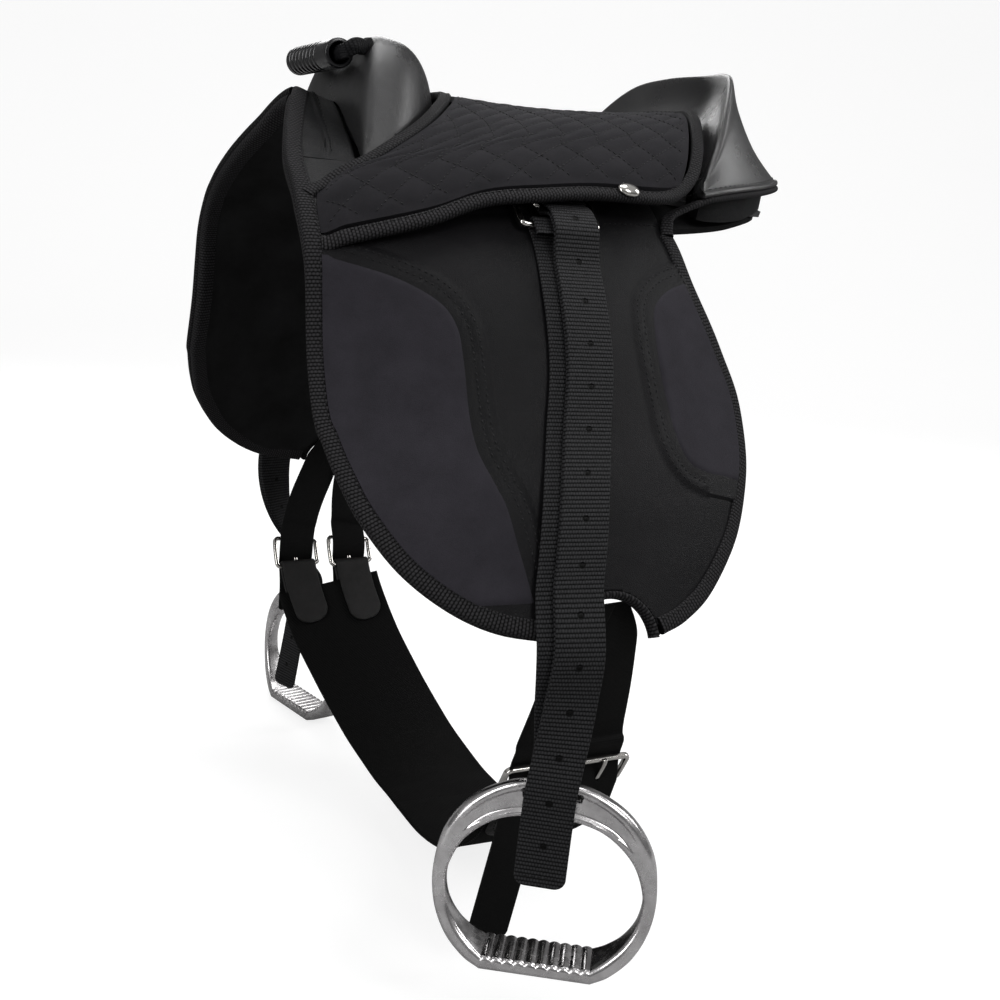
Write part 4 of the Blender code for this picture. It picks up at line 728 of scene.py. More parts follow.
def finish(colour, roughness, metallic=0.0, specular=0.5):
    """Registers a material: it is made once, when a piece first asks for it."""
    def register(build):
        name = build.__name__ + FINISH_ENDING

        def once():
            if name not in bpy.data.materials:
                build(Finish(name, colour, roughness, metallic, specular))
            return bpy.data.materials[name]

        MATERIALS[build.__name__] = once
        return build
    return register


@finish((0.007, 0.007, 0.008), 0.42, specular=0.1)
def flap_leather(f):
    f.tint(f.between(f.noise(9.0, 4.0, 0.6), 0.35, 0.7), (0.004, 0.004, 0.0045), (0.0075, 0.007, 0.008))
    f.rub(0.36, 0.48, 38.0, 5.0, 0.65)
    f.grain(0.0009, 0.5, 20.0, 2.0)
    f.pores(0.00012, 0.55, 1100.0, 0.16)
    f.grain(0.00006, 0.4, 2600.0, 2.0)


@finish((0.004, 0.004, 0.0045), 0.46, specular=0.1)
def panel_leather(f):
    f.rub(0.4, 0.55, 60.0, 4.0)
    f.pores(0.00014, 0.6, 900.0, 0.2)
    f.grain(0.00006, 0.4, 2400.0, 2.0)


@finish(0.005, 0.5, specular=0.3)
def strap_leather(f):
    f.tint(f.noise(70.0, 4.0), 0.004, (0.009, 0.008, 0.008))
    f.rub(0.42, 0.62, 220.0, 4.0)
    f.pores(0.00012, 0.6, 1500.0, 0.2)
    f.grain(0.0002, 0.4, 500.0, 4.0)


@finish((0.015, 0.015, 0.016), 0.3)
def moulded_pu(f):
    f.tint(f.noise(14.0, 3.0), (0.016, 0.016, 0.0165), (0.023, 0.0225, 0.0235))
    f.rub(0.25, 0.36, 46.0, 5.0, 0.6)
    f.grain(0.0006, 0.35, 24.0, 2.0)
    f.pores(0.00008, 0.5, 1300.0, 0.18)


@finish((0.004, 0.004, 0.005), 0.22)
def grip_rubber(f):
    f.rub(0.18, 0.3, 180.0, 4.0)
    f.grain(0.00008, 0.5, 900.0, 3.0)


def napped(f, dark, light, sheen=0.05):
    """Suede: a short nap that lies in patches, with a soft sheen at grazing angles."""
    nap = f.noise(55.0, 5.0, 0.62)
    fibre = f.noise(1900.0, 3.0, 0.7)
    both = f.math("MULTIPLY_ADD", fibre, 0.45, f.math("MULTIPLY", nap, 0.6))
    f.tint(f.between(both, 0.3, 0.75), dark, light)
    f.put("Sheen Weight", sheen)
    f.put("Sheen Roughness", 0.55)
    f.put("Sheen Tint", (0.75, 0.74, 0.8, 1.0))
    f.bump(nap, 0.0005, 0.35)
    f.bump(fibre, 0.00022, 0.8)


@finish((0.006, 0.006, 0.007), 0.92, specular=0.08)
def seat_suede(f):
    napped(f, (0.006, 0.006, 0.007), (0.014, 0.013, 0.015))


@finish((0.015, 0.014, 0.017), 0.92, specular=0.08)
def patch_suede(f):
    napped(f, (0.015, 0.014, 0.017), (0.028, 0.026, 0.032))


@finish(0.004, 0.95, specular=0.05)
def lining(f):
    f.tint(f.between(f.noise(30.0, 5.0), 0.3, 0.7), 0.008, (0.015, 0.015, 0.0155))
    f.grain(0.0008, 0.4, 60.0, 3.0)
    f.grain(0.0003, 0.8, 1400.0, 2.0)


@finish(0.09, 0.95)
def seat_foam_cells(f):
    f.tint(f.noise(300.0, 4.0), 0.05, 0.13)
    f.bump(f.cells(700.0, "F1"), 0.0006, 0.9)


@finish((0.04, 0.04, 0.042), 0.55)
def tree_plastic(f):
    f.rub(0.45, 0.65, 90.0, 4.0)
    f.grain(0.00015, 0.6, 700.0, 3.0)


@finish((0.0035, 0.0035, 0.004), 0.55, specular=0.2)
def thread(f):
    f.put("Sheen Weight", 0.02)
    f.grain(0.0001, 0.6, 3500.0, 2.0)


def woven(f, dark, light, rib, yarn, depth, holes=False):
    """Webbing: ribs across its length, each of short yarns that step sideways from rib to rib."""
    along, across = f.lay()
    turns = f.math("MULTIPLY", along, 1.0 / (rib * MM))
    ridge = f.wave(turns)
    shift = f.math("MULTIPLY", f.math("FLOOR", turns), 0.5)
    bead = f.wave(f.math("MULTIPLY_ADD", across, 1.0 / (yarn * MM), shift))
    relief = f.math("MULTIPLY", f.math("POWER", ridge, 0.6), f.math("MULTIPLY_ADD", bead, 0.45, 0.55))
    fray = f.noise(800.0, 3.0)
    # The colour follows a random tone from the fray noise and painted shade: the grooves between ribs and
    # yarns are coloured darker, as the shade in them.
    tone_and_groove_shade = f.math("MULTIPLY_ADD", fray, 0.35, f.math("MULTIPLY", relief, 0.75))
    colour = f.mix(f.between(tone_and_groove_shade, 0.42, 0.95), dark, light)
    f.bump(relief, depth * MM)
    f.bump(fray, 0.0002, 0.5)
    if holes:
        pitch = HOLE_PITCH * MM
        turn = f.math("SUBTRACT", f.math("FRACT", f.math("MULTIPLY", along, 1.0 / pitch)), 0.5)
        reach = f.math("POWER", f.math("MULTIPLY", turn, pitch), 2.0)
        distance = f.math("SQRT", f.math("ADD", reach, f.math("POWER", across, 2.0)))
        hole = f.between(distance, *HOLE_RIM)
        f.bump(hole, 0.0012)
        # Painted shade: each punched hole is coloured near black, for the shade inside it.
        colour = f.mix(hole, 0.001, colour)
    f.put("Base Color", colour)


@finish((0.030, 0.030, 0.032), 0.6, specular=0.1)
def strap_webbing(f):
    woven(f, (0.0004, 0.0004, 0.0005), (0.030, 0.030, 0.032), 2.0, 1.5, 0.4, holes=True)


@finish(0.006, 0.7, specular=0.1)
def billet_webbing(f):
    woven(f, 0.002, 0.006, 0.9, 0.9, 0.12)


@finish((0.010, 0.010, 0.011), 0.6, specular=0.1)
def handle_weave(f):
    woven(f, (0.0015, 0.0015, 0.002), (0.010, 0.010, 0.011), 1.5, 1.4, 0.4)


@finish((0.032, 0.031, 0.033), 0.8, specular=0.1)
def binding_tape(f):
    woven(f, (0.0005, 0.0005, 0.0006), (0.032, 0.031, 0.033), 1.8, 1.9, 0.25)


@finish(0.005, 0.8, specular=0.07)
def girth_weave(f):
    """Twill: fine ridges that run slantwise over the band."""
    along, across = f.lay()
    slant = f.math("MULTIPLY", along, 0.55 / (TWILL_RIDGE * MM))
    ridge = f.wave(f.math("MULTIPLY_ADD", across, 1.0 / (TWILL_RIDGE * MM), slant))
    cross = f.wave(f.math("MULTIPLY", along, 1.0 / (TWILL_STEP * MM)))
    relief = f.math("MULTIPLY_ADD", cross, 0.3, f.math("MULTIPLY", ridge, 0.7))
    # The colour follows a random tone from the noise and painted shade: the grooves between the twill's
    # ridges are coloured darker, as the shade in them.
    tone_and_groove_shade = f.math("MULTIPLY_ADD", f.noise(500.0, 4.0), 0.4, f.math("MULTIPLY", relief, 0.6))
    f.tint(f.between(tone_and_groove_shade, 0.15, 0.8), 0.002, 0.006)
    f.grain(0.001, 0.4, 25.0, 3.0)
    f.bump(relief, 0.00035)


@finish((0.66, 0.65, 0.655), 0.24, metallic=1.0)
def cast_aluminium(f):
    """Tumbled cast aluminium: bright, with fine pits, soft waves and dull patches."""
    f.tint(f.between(f.noise(60.0, 5.0, 0.65), 0.35, 0.7), (0.80, 0.785, 0.79), (0.50, 0.485, 0.49))
    f.rub(0.15, 0.34, 130.0, 5.0, 0.65)
    f.grain(0.0008, 0.3, 70.0, 2.0)
    f.grain(0.00006, 0.6, 900.0, 4.0, 0.7)


@finish((0.72, 0.70, 0.67), 0.14, metallic=1.0)
def plated_steel(f):
    f.tint(f.noise(200.0, 4.0), (0.78, 0.77, 0.75), (0.56, 0.53, 0.49))
    f.rub(0.08, 0.24, 400.0, 4.0)
    f.grain(0.00005, 0.6, 600.0, 3.0)


@finish(0.3, 0.9, specular=0.1)
def floor_paper(f):
    """Pale paper. What the camera sees of it is lifted to near white, and keeps its soft shadow."""
    f.tint(f.noise(3.0, 2.0), 0.295, 0.305)
    rays = add_node(f.tree, "ShaderNodeLightPath")
    f.put("Emission Color", rgba(1.0))
    f.put("Emission Strength", f.math("MULTIPLY", rays.outputs["Is Camera Ray"], FLOOR_LIFT))


# Stage, lamps and camera

def stage():
    """A pale floor that curves up behind the object, with a world that shows as white."""
    low = cad_box[0][2] - FLOOR_DROP
    path = [(FLOOR_NEAR, low), (FLOOR_START, low)]
    for q in np.linspace(0, math.pi / 2, 13)[1:]:
        path.append((FLOOR_START + FLOOR_RADIUS * math.sin(q), low + FLOOR_RADIUS * (1 - math.cos(q))))
    path.append((FLOOR_START + FLOOR_RADIUS, low + FLOOR_HIGH))
    points = [AHEAD * d + ASIDE * w + UP * z for d, z in path for w in (-FLOOR_HALF, FLOOR_HALF)]
    faces = [(2 * k, 2 * k + 1, 2 * k + 3, 2 * k + 2) for k in range(len(path) - 1)]
    add_mesh("studio_floor", np.array(points) / MM, faces, "floor_paper")

    world = bpy.data.worlds.new("studio")
    bpy.context.scene.world = world
    world.use_nodes = True
    tree = world.node_tree
    place = add_node(tree, "ShaderNodeTexCoord").outputs["Generated"]
    height = add_node(tree, "ShaderNodeSeparateXYZ", {0: place}).outputs["Z"]
    gloss = map_range(tree, height, GLOSS_FROM, GLOSS_TO, GLOSS_LOW, GLOSS_HIGH)
    rays = add_node(tree, "ShaderNodeLightPath")
    strength = WORLD_LIGHT
    for ray, value in (("Is Glossy Ray", gloss), ("Is Camera Ray", 1.0)):
        values = {"Factor": rays.outputs[ray], "A": strength, "B": value}
        strength = add_node(tree, "ShaderNodeMix", values).outputs[0]
    back = tree.nodes["Background"]
    back.inputs["Color"].default_value = rgba(1.0)
    tree.links.new(strength, back.inputs["Strength"])


def placed(name, data, axes, place):
    """A lamp or camera whose x, y and z axes point along these directions."""
    made = add_object(name, data)
    made.matrix_world = Matrix([(*(a[k] for a in axes), place[k]) for k in range(3)] + [(0, 0, 0, 1)])
    return made


def lamps():
    for name, (place, size, watts) in LAMPS.items():
        light = bpy.data.lights.new(name, "AREA")
        light.shape = "RECTANGLE"
        light.size, light.size_y = size
        light.energy = watts
        away = unit(np.array(place) - np.array(LAMPS_FACE))
        side = unit(np.cross(UP, away))
        placed(name, light, (side, np.cross(away, side), away), place)


def camera():
    pitch, roll = math.radians(CAMERA_PITCH), math.radians(CAMERA_ROLL)
    ahead = AHEAD * math.cos(pitch) - UP * math.sin(pitch)
    up = np.cross(ASIDE, ahead)
    right = ASIDE * math.cos(roll) + up * math.sin(roll)
    up = up * math.cos(roll) - ASIDE * math.sin(roll)
    data = bpy.data.cameras.new("camera")
    data.lens = CAMERA_LENS
    data.sensor_width = CAMERA_SENSOR
    bpy.context.scene.camera = placed("camera", data, (right, up, -ahead), CAMERA_PLACE)
    bpy.context.scene.view_settings.view_transform = "Standard"


def ride(piece, body, *nodes):
    """The piece moves with the body and stands for these CAD nodes."""
    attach(piece, body)
    if nodes:
        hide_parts(*nodes)
    return piece


# Pads, flaps, patches and tapes

def polyline_distance(x, s, line):
    """Distance in the laid-out face from each (x, s) to a line of (x, s) points."""
    x, s = np.broadcast_arrays(np.asarray(x, float), np.asarray(s, float))
    places = np.stack([x, s], -1).reshape(-1, 1, 2)
    a, b = line[:-1][None], line[1:][None]
    t = (((places - a) * (b - a)).sum(-1) / ((b - a) ** 2).sum(-1)).clip(0, 1)[..., None]
    near = np.linalg.norm(places - (a + t * (b - a)), axis=-1).min(1)
    return near.reshape(x.shape)


def wavy(x, s, seed=0):
    """A slow uneven wave between -1 and 1, for cloth and leather that isn't quite flat."""
    return (np.sin(x / 17.0 + 0.7 * seed + np.sin(s / 23.0)) * np.sin(s / 19.0 + 1.3 * seed)
            + 0.5 * np.sin(x / 7.3 + s / 9.1 + seed)) / 1.5


def smoothly(value, low, high):
    t = np.clip((np.asarray(value, float) - low) / (high - low), 0, 1)
    return t * t * (3 - 2 * t)


def edge_tables(distance):
    """x of the front and rear edges by distance from the spine, inset, and the lowest inset line."""
    front = inset(catmull(FRONT_EDGE, 8), distance)
    rear = inset(catmull(REAR_EDGE, 8), distance)
    low = FRONT_EDGE[-1][1] - distance
    front_pairs = [(s, x) for x, s in front if s < low] + [(low, FRONT_EDGE[-1][0])]
    rear_pairs = [(s, x) for x, s in rear if s < low] + [(low, rear[0][0] - 2)]
    return front_pairs, rear_pairs, low


def draped(name, side, drops, left, right, columns, low, high, kind):
    """A closed sheet on one side. Its rows run along X between two edges, each a table by drop."""
    s = np.asarray(drops, float)[:, None]
    u = np.linspace(0, 1, columns)[None, :]
    x = left(s) + u * (right(s) - left(s))
    v = (np.arange(len(drops)) / (len(drops) - 1))[:, None]
    outer, inner = (lifted(x, side * s, height(x, s, u, v)) for height in (high, low))
    return sheet(name, outer, inner, kind, np.stack([s + 0 * x, x], -1))


def notch_cutter(side):
    """An arch-topped prism across the lower edge of one side, as a tube of an even outline."""
    turn = np.linspace(0, math.pi, 34)
    arch = np.column_stack([
        NOTCH_X + NOTCH_HALF * np.cos(turn), NOTCH_TOP - NOTCH_RISE + NOTCH_RISE * np.sin(turn),
    ])
    outline = [(NOTCH_X + NOTCH_HALF, NOTCH_LOW), *arch, (NOTCH_X - NOTCH_HALF, NOTCH_LOW)]
    rings = [[(x, side * y, z) for x, z in outline] for y in NOTCH_DEPTHS]
    return tube("notch_cutter", rings, "lining")


# The patches' inner edges as lines of (x, distance from the spine), and a sign for the inner side.
PATCH_LINES = {
    "knee": (catmull(FRONT_PATCH, 10)[:, ::-1], 1), "thigh": (catmull(REAR_PATCH, 10)[:, ::-1], -1),
}


def flap_height(x, s):
    """Relief of the flap: a folded band round each patch, drawn down at its stitches, and slow waves."""
    height = FLAP_WAVE * wavy(x, s, 2)
    for line, sign in PATCH_LINES.values():
        apart = polyline_distance(x, s, line)
        beyond = (x - table(line[:, ::-1], s)) * sign > 0
        apart = np.where(beyond, apart, 0.0)
        inside = (s > line[:, 1].min() - PATCH_BAND) & (s < line[:, 1].max() + PATCH_BAND)
        band = 1 - smoothly(apart, PATCH_BAND - 1.6, PATCH_BAND + 0.6)
        dips = DIP_DEEP * sum(np.exp(-((apart - row) / DIP_WIDE) ** 2) for row in STITCH_ROWS)
        height = height + np.where(inside, BAND_RISE * band - dips * band, 0.0)
    return height


def pads():
    front, rear, low = edge_tables(BINDING_WIDTH - 3.0)
    rear_top = [(s, x) for x, s in catmull(PAD_REAR, 6)] + [p for p in rear if p[0] > REAR_CORNER]

    def inner_lift(x, s, u, v):
        near_edge = np.minimum(1.0, 5 * np.minimum(np.minimum(u, 1 - u), 1 - v))
        dome = (PAD_IN - PAD_EDGE_IN) * np.sin(near_edge * math.pi / 2)
        return PAD_EDGE_IN + dome + 0.3 * wavy(x, s, 5)

    def outer_lift(x, s, u, v):
        return PAD_OUT - PAD_CREST_DIP * np.maximum(0.0, 1 - v * low / FLAP_TOP)

    drops = np.linspace(PAD_START, low, 130)
    for word, side in SIDES:
        pad = draped(
            f"pad_lining_{word}", side, drops, lambda s: table(front, s), lambda s: table(rear_top, s),
            90, inner_lift, outer_lift, "lining",
        )
        cut(pad, notch_cutter(side))
        ride(pad, "saddle", f"pad_{word}")
    x = np.linspace(*GULLET_SPAN, 60)[:, None]
    s = np.linspace(-GULLET_HALF, GULLET_HALF, 9)[None, :]
    top = PAD_OUT - PAD_CREST_DIP
    outer, inner = (lifted(x, s, h) for h in (top, top - GULLET_THICK))
    strip = sheet("gullet_webbing", outer, inner, "billet_webbing", grid_uv(outer))
    ride(strip, "saddle", "gullet_strip")


def flaps():
    front, rear, low = edge_tables(BINDING_WIDTH - 3.0)
    rear_flap = [p for p in rear if p[0] > REAR_CORNER] + FLAP_REAR_TOP
    drops = np.linspace(FLAP_TOP, low, 170)
    for word, side in SIDES:
        flap = draped(
            f"flap_skin_{word}", side, drops, lambda s: table(front, s), lambda s: table(rear_flap, s),
            130, lambda x, s, u, v: FLAP_IN, lambda x, s, u, v: flap_height(x, s), "flap_leather",
        )
        cut(flap, notch_cutter(side))
        ride(flap, "saddle", f"flap_{word}")


def patches():
    front, rear, _ = edge_tables(BINDING_WIDTH - 1.0)
    for word, side in SIDES:
        for place, (line, flip) in PATCH_LINES.items():
            span = PATCH_SPANS[place]

            def height(x, s, u, v):
                rim = np.minimum(polyline_distance(x, s, line), span[1] - s + 0.3)
                return 0.3 + (PATCH_OUT - 0.1) * np.sqrt(smoothly(rim, -0.4, 3.6)) + 0.15 * wavy(x, s, 8)

            edges = (lambda s: table(front if flip > 0 else rear, s),
                     lambda s: table(line[:, ::-1], s) - flip * 0.6)
            patch = draped(
                f"{place}_suede_{word}", side, np.linspace(*span, 120), *edges[::flip], 60,
                lambda x, s, u, v: -0.3, height, "patch_suede",
            )
            ride(patch, "saddle", f"{place}_patch_{word}")


def on_flap(line, side, height=0.0):
    """Points and normals of a line of (x, s) on the outside of a flap."""
    x, s = line[:, 0], line[:, 1]
    return lifted(x, side * s, flap_height(x, s) + height), face_normal(x, side * s)


def within(line, keep):
    """The unbroken stretch of a line of (x, s) points that keep says yes to."""
    found = np.flatnonzero(keep(line[:, 0], line[:, 1]))
    return line[found[0]:found[-1] + 1]


def flap_stitching():
    front, rear, low = edge_tables(BINDING_WIDTH + 0.5)

    def free(x, s):
        return (x > table(front, s)) & (x < table(rear, s)) & (s < low - 2)

    for word, side in SIDES:
        rows = []
        for line, sign in PATCH_LINES.values():
            for distance in STITCH_ROWS:
                moved = within(evenly(line + sign * distance * right_of(line), 1.5), free)
                rows.append(on_flap(moved, side))
        rows.append(on_flap(np.linspace(*FLAP_HEM, 30), side))
        ride(stitches(f"flap_stitching_{word}", rows), "saddle")


def tape_rings(points, inward, normal, profile):
    profile = np.asarray(profile, float)
    rings = points[:, None] + profile[:, :1] * inward[:, None] + profile[:, 1:] * normal[:, None]
    return rings, laid(run_of(points), run_of(profile))


def edge_tapes(word, side, place, outline):
    """Ribbed tape folded over the edge of the flap, and another over the edge of the pad below it."""
    line = evenly(inset(catmull(outline, 8), BINDING_WIDTH / 2), 1.6)
    step = 0.5 * right_of(line)
    x, s = line[:, 0], line[:, 1]
    points, normal = on_face(x, side * s), face_normal(x, side * s)
    inward = on_face(x + step[:, 0], side * (s + step[:, 1])) - points
    inward = unit(inward - (inward * normal).sum(-1, keepdims=True) * normal)
    for layer, profile in (("flap", FLAP_TAPE), ("pad", PAD_TAPE)):
        rings, uv = tape_rings(points, inward, normal, profile)
        tape = tube(f"{place}_{layer}_tape_{word}", rings, "binding_tape", uv=uv, sharp=60)
        ride(tape, "saddle", f"{place}_binding_{word}")
    seam = points + TAPE_SEAM[0] * inward + TAPE_SEAM[1] * normal
    ride(stitches(f"{place}_tape_stitching_{word}", [(seam, normal)]), "saddle")


def tapes():
    for word, side in SIDES:
        edge_tapes(word, side, "front", FRONT_EDGE)
        edge_tapes(word, side, "rear", REAR_EDGE)
        turn = math.pi * np.linspace(0.02, 0.98, 60)
        x = NOTCH_X + (NOTCH_HALF - NOTCH_TAPE_REACH) * np.cos(turn)
        z = NOTCH_TOP - NOTCH_RISE + (NOTCH_RISE - NOTCH_TAPE_REACH) * np.sin(turn)
        s = np.array([np.interp(-q, -section_at(p)[:, 1], FACE_S) for p, q in zip(x, z)])
        normal = face_normal(x, side * s)
        arch = lifted(x, side * s, NOTCH_TAPE_MIDDLE)
        roll = wire(0.5, 20, 0.0) * NOTCH_TAPE
        tape = swept(f"notch_tape_{word}", arch, normal, roll, "binding_tape", sharp=60)
        ride(tape, "saddle", f"notch_binding_{word}")


# Seat, pommel and cantle

def smooth_pairs(pairs, steps=10):
    return [tuple(p) for p in catmull(pairs, steps)]


def with_mirror(points, flip):
    """The points, led by the second one mirrored over the middle, so the line has no corner there."""
    return [tuple(np.multiply(points[1], flip)), *points]


SMOOTH = {
    "front": smooth_pairs(SEAT_FRONT), "rear": smooth_pairs(with_mirror(SEAT_REAR, (-1, 1))),
    "drop": smooth_pairs(SEAT_DROP),
    "border": smooth_pairs(SEAT_BORDER_LIFT), "crest": smooth_pairs(SEAT_CREST_LIFT),
    "rise": smooth_pairs(POMMEL_RISE),
}
SEAT_EDGE = 1 - (SEAT_BINDING + 1.2) / SEAT_HALF_ROUND


def seat_base(g, t):
    """x and distance from the spine of a place on the seat: g from border to border, t front to rear."""
    f = np.abs(g)
    x = table(SMOOTH["front"], f) * (1 - t) + table(SMOOTH["rear"], f) * t
    border_x = SEAT_FRONT[-1][1] * (1 - t) + SEAT_REAR[-1][1] * t
    s = np.maximum(f * table(SMOOTH["drop"], border_x), 0.01)
    return x, np.where(g < 0, -s, s)


def seat_lift(g, t):
    f = np.abs(g)
    border, crest = table(SMOOTH["border"], np.clip(t, 0, 1)), table(SMOOTH["crest"], np.clip(t, 0, 1))
    front_shape = np.maximum(0.0, 1 - (f / 0.7) ** 1.6)
    rear_shape = 1 - f**2.2
    shape = front_shape + (rear_shape - front_shape) * np.clip(t, 0, 1)**0.7
    tucked = smoothly(f, *TUCK_SPAN) * (1 - smoothly(t, -0.01, TUCK_DEEP))
    return border + (crest - border) * shape - TUCK_DROP * tucked


def seat_point(g, t, height=0.0):
    g, t = np.broadcast_arrays(np.asarray(g, float), np.asarray(t, float))
    x, s = seat_base(g, t)
    return lifted(x, s, seat_lift(g, t) + height)


def seat_normal(g, t):
    return unit(seat_point(g, t, 1.0) - seat_point(g, t, 0.0))


def quilt(i, j):
    """Height of the quilting by row and column cell: nothing on the seams, full between them."""
    puff = (np.abs(np.sin(math.pi * (i + j) / 2) * np.sin(math.pi * (i - j) / 2)) + 1e-9) ** 0.55
    rows, columns = QUILT_CELLS
    rim = np.minimum(np.minimum(i, rows - i), np.minimum(j, columns - j))
    return puff * smoothly(rim, 0.05, 0.7)


def seat_cell(i, j):
    """g and t of a place given in quilt cells."""
    rows, columns = QUILT_CELLS
    g = SEAT_EDGE * (2 * np.asarray(j, float) / columns - 1)
    start = SEAT_START - TUCK_REACH * smoothly(np.abs(g), *TUCK_SPAN)
    return g, start + (SEAT_END - start) * np.asarray(i, float) / rows


def seat_loop(fraction, t_low, t_high, corner=0.055):
    """A closed line round the seat with rounded corners, as (g, t)."""
    corners = np.array([(-1, 0), (1, 0), (1, 1), (-1, 1)])
    size = np.array([2.2, 1.6]) * corner
    points = []
    for k, own in enumerate(corners):
        place = np.array([own[0] * fraction, t_low + (t_high - t_low) * own[1]])
        before, after = (np.sign(corners[(k + n) % 4] - own) * size for n in (-1, 1))
        points += [place + before * (1 - q) ** 2 + after * q**2 for q in np.linspace(0, 1, 7)]
    line = np.array(points + points[:1])
    return evenly(line * SEAT_SPAN, 2.0)[:-1] / SEAT_SPAN


def seat_line(line):
    """A line of (g, t) with even steps, and its points and normals on the seat."""
    g, t = (evenly(line * SEAT_SPAN, 2.0) / SEAT_SPAN).T
    return seat_point(g, t), seat_normal(g, t)


def seat():
    rows, columns = QUILT_CELLS
    i, j = np.linspace(0, rows, rows * QUILT_FINE + 1), np.linspace(0, columns, columns * QUILT_FINE + 1)
    i, j = np.meshgrid(i, j, indexing="ij")
    g, t = seat_cell(i, j)
    puff = quilt(i, j)
    outer = seat_point(g, t, QUILT_DEPTH * puff + 0.12 * wavy(9 * i, 11 * j, 3) * puff)
    inner = seat_point(g, t, -SEAT_THICK)
    cover = sheet("seat_quilt", outer, inner, "seat_suede", grid_uv(outer), sharp=60)
    ride(cover, "saddle", "seat_cover")

    seams = []
    for n in range(-columns, columns + rows + 1):
        for sign in (1, -1):
            i = np.linspace(0.25, rows - 0.25, 200)
            j = 2 * n - sign * i
            keep = (j > 0.25) & (j < columns - 0.25)
            if keep.sum() >= 12:
                g, t = seat_cell(i[keep], j[keep])
                seams.append((seat_point(g, t, 0.15), seat_normal(g, t)))
    ride(stitches("quilting", seams, wide=0.62), "saddle")

    rim = 1 - SEAT_BINDING / 2 / SEAT_HALF_ROUND
    g = np.linspace(-TAPE_FRONT[-1][0], TAPE_FRONT[-1][0], 160)
    front = np.column_stack([g, table(smooth_pairs(TAPE_FRONT), np.abs(g))])
    loop = seat_loop(rim, 0.0, 0.98)
    rear = np.vstack([[rim, TAPE_SIDE_START], loop[loop[:, 1] > 0.3], [-rim, TAPE_SIDE_START]])
    seams = []
    for place, line in (("front", front), ("rear", rear)):
        points, normal = seat_line(line)
        inward = unit(np.cross(tangents(points), normal))
        middle = len(points) // 2
        inward *= np.sign((seat_point(0.0, 0.5) - points[middle]) @ inward[middle])
        rings, uv = tape_rings(points, inward, normal, SEAT_TAPE)
        tape = tube(f"seat_tape_{place}", rings, "binding_tape", uv=uv, sharp=60)
        ride(tape, "saddle", "seat_binding")
        seam = slice(SEAM_STOP, -SEAM_STOP)
        reach, height = SEAT_TAPE_SEAM
        seams.append(((points + reach * inward + height * normal)[seam], normal[seam]))
    ride(stitches("seat_tape_stitching", seams), "saddle")

    g, t = np.meshgrid(np.linspace(-FOAM_HALF, FOAM_HALF, 61), np.linspace(*FOAM_SPAN, 40))
    foam_top, foam_low = seat_point(g, t, -SEAT_THICK - GAP), lifted(*seat_base(g, t), GAP)
    foam = sheet("seat_filling", foam_top, foam_low, "seat_foam_cells")
    ride(foam, "saddle", "seat_foam")


def studs():
    turn = circle(32)[:, None]
    for word, side in SIDES:
        g, t = side * STUD_PLACE[0], STUD_PLACE[1]
        base = seat_point(g, t, STUD_LIFT)
        normal = seat_normal(g, t)
        across = STUD_OVAL[0] * unit(np.cross(normal, (1.0, 0.0, 0.0)))
        along = STUD_OVAL[1] * unit(np.cross(normal, across))
        oval = np.cos(turn) * across + np.sin(turn) * along
        rings = [base + h * normal + r * oval for r, h in STUD_PROFILE]
        ride(tube(f"stud_cap_{word}", rings, "plated_steel"), "saddle", f"stud_{word}")


def pommel_front(across, half):
    """x of the pommel's front edge, which flares back by POMMEL_FLARE at this half width."""
    return POMMEL_FRONT - POMMEL_FLARE * (np.abs(across) / half) ** 2


def pommel_span(y):
    """x of the pommel's front and rear at a distance from the centre line."""
    border = seat_point(np.linspace(0, 0.8, 60), 0.0)
    order = np.argsort(border[:, 1])
    front = pommel_front(y, POMMEL_FLARE_HALF)
    rear = np.interp(np.abs(y), border[order, 1], border[order, 0]) - 2.5
    return front, np.maximum(rear, front + 4.0)


def pommel_share(u):
    """The pommel's height as a share of its peak, at a share of the way from front to rear."""
    reach = np.where(u < POMMEL_PEAK, POMMEL_PEAK, 1 - POMMEL_PEAK)
    power = np.where(u < POMMEL_PEAK, POMMEL_POWER_FRONT, POMMEL_POWER_REAR)
    return (1 - np.minimum(1.0, np.abs(u - POMMEL_PEAK) / reach) ** power) ** (1 / power)


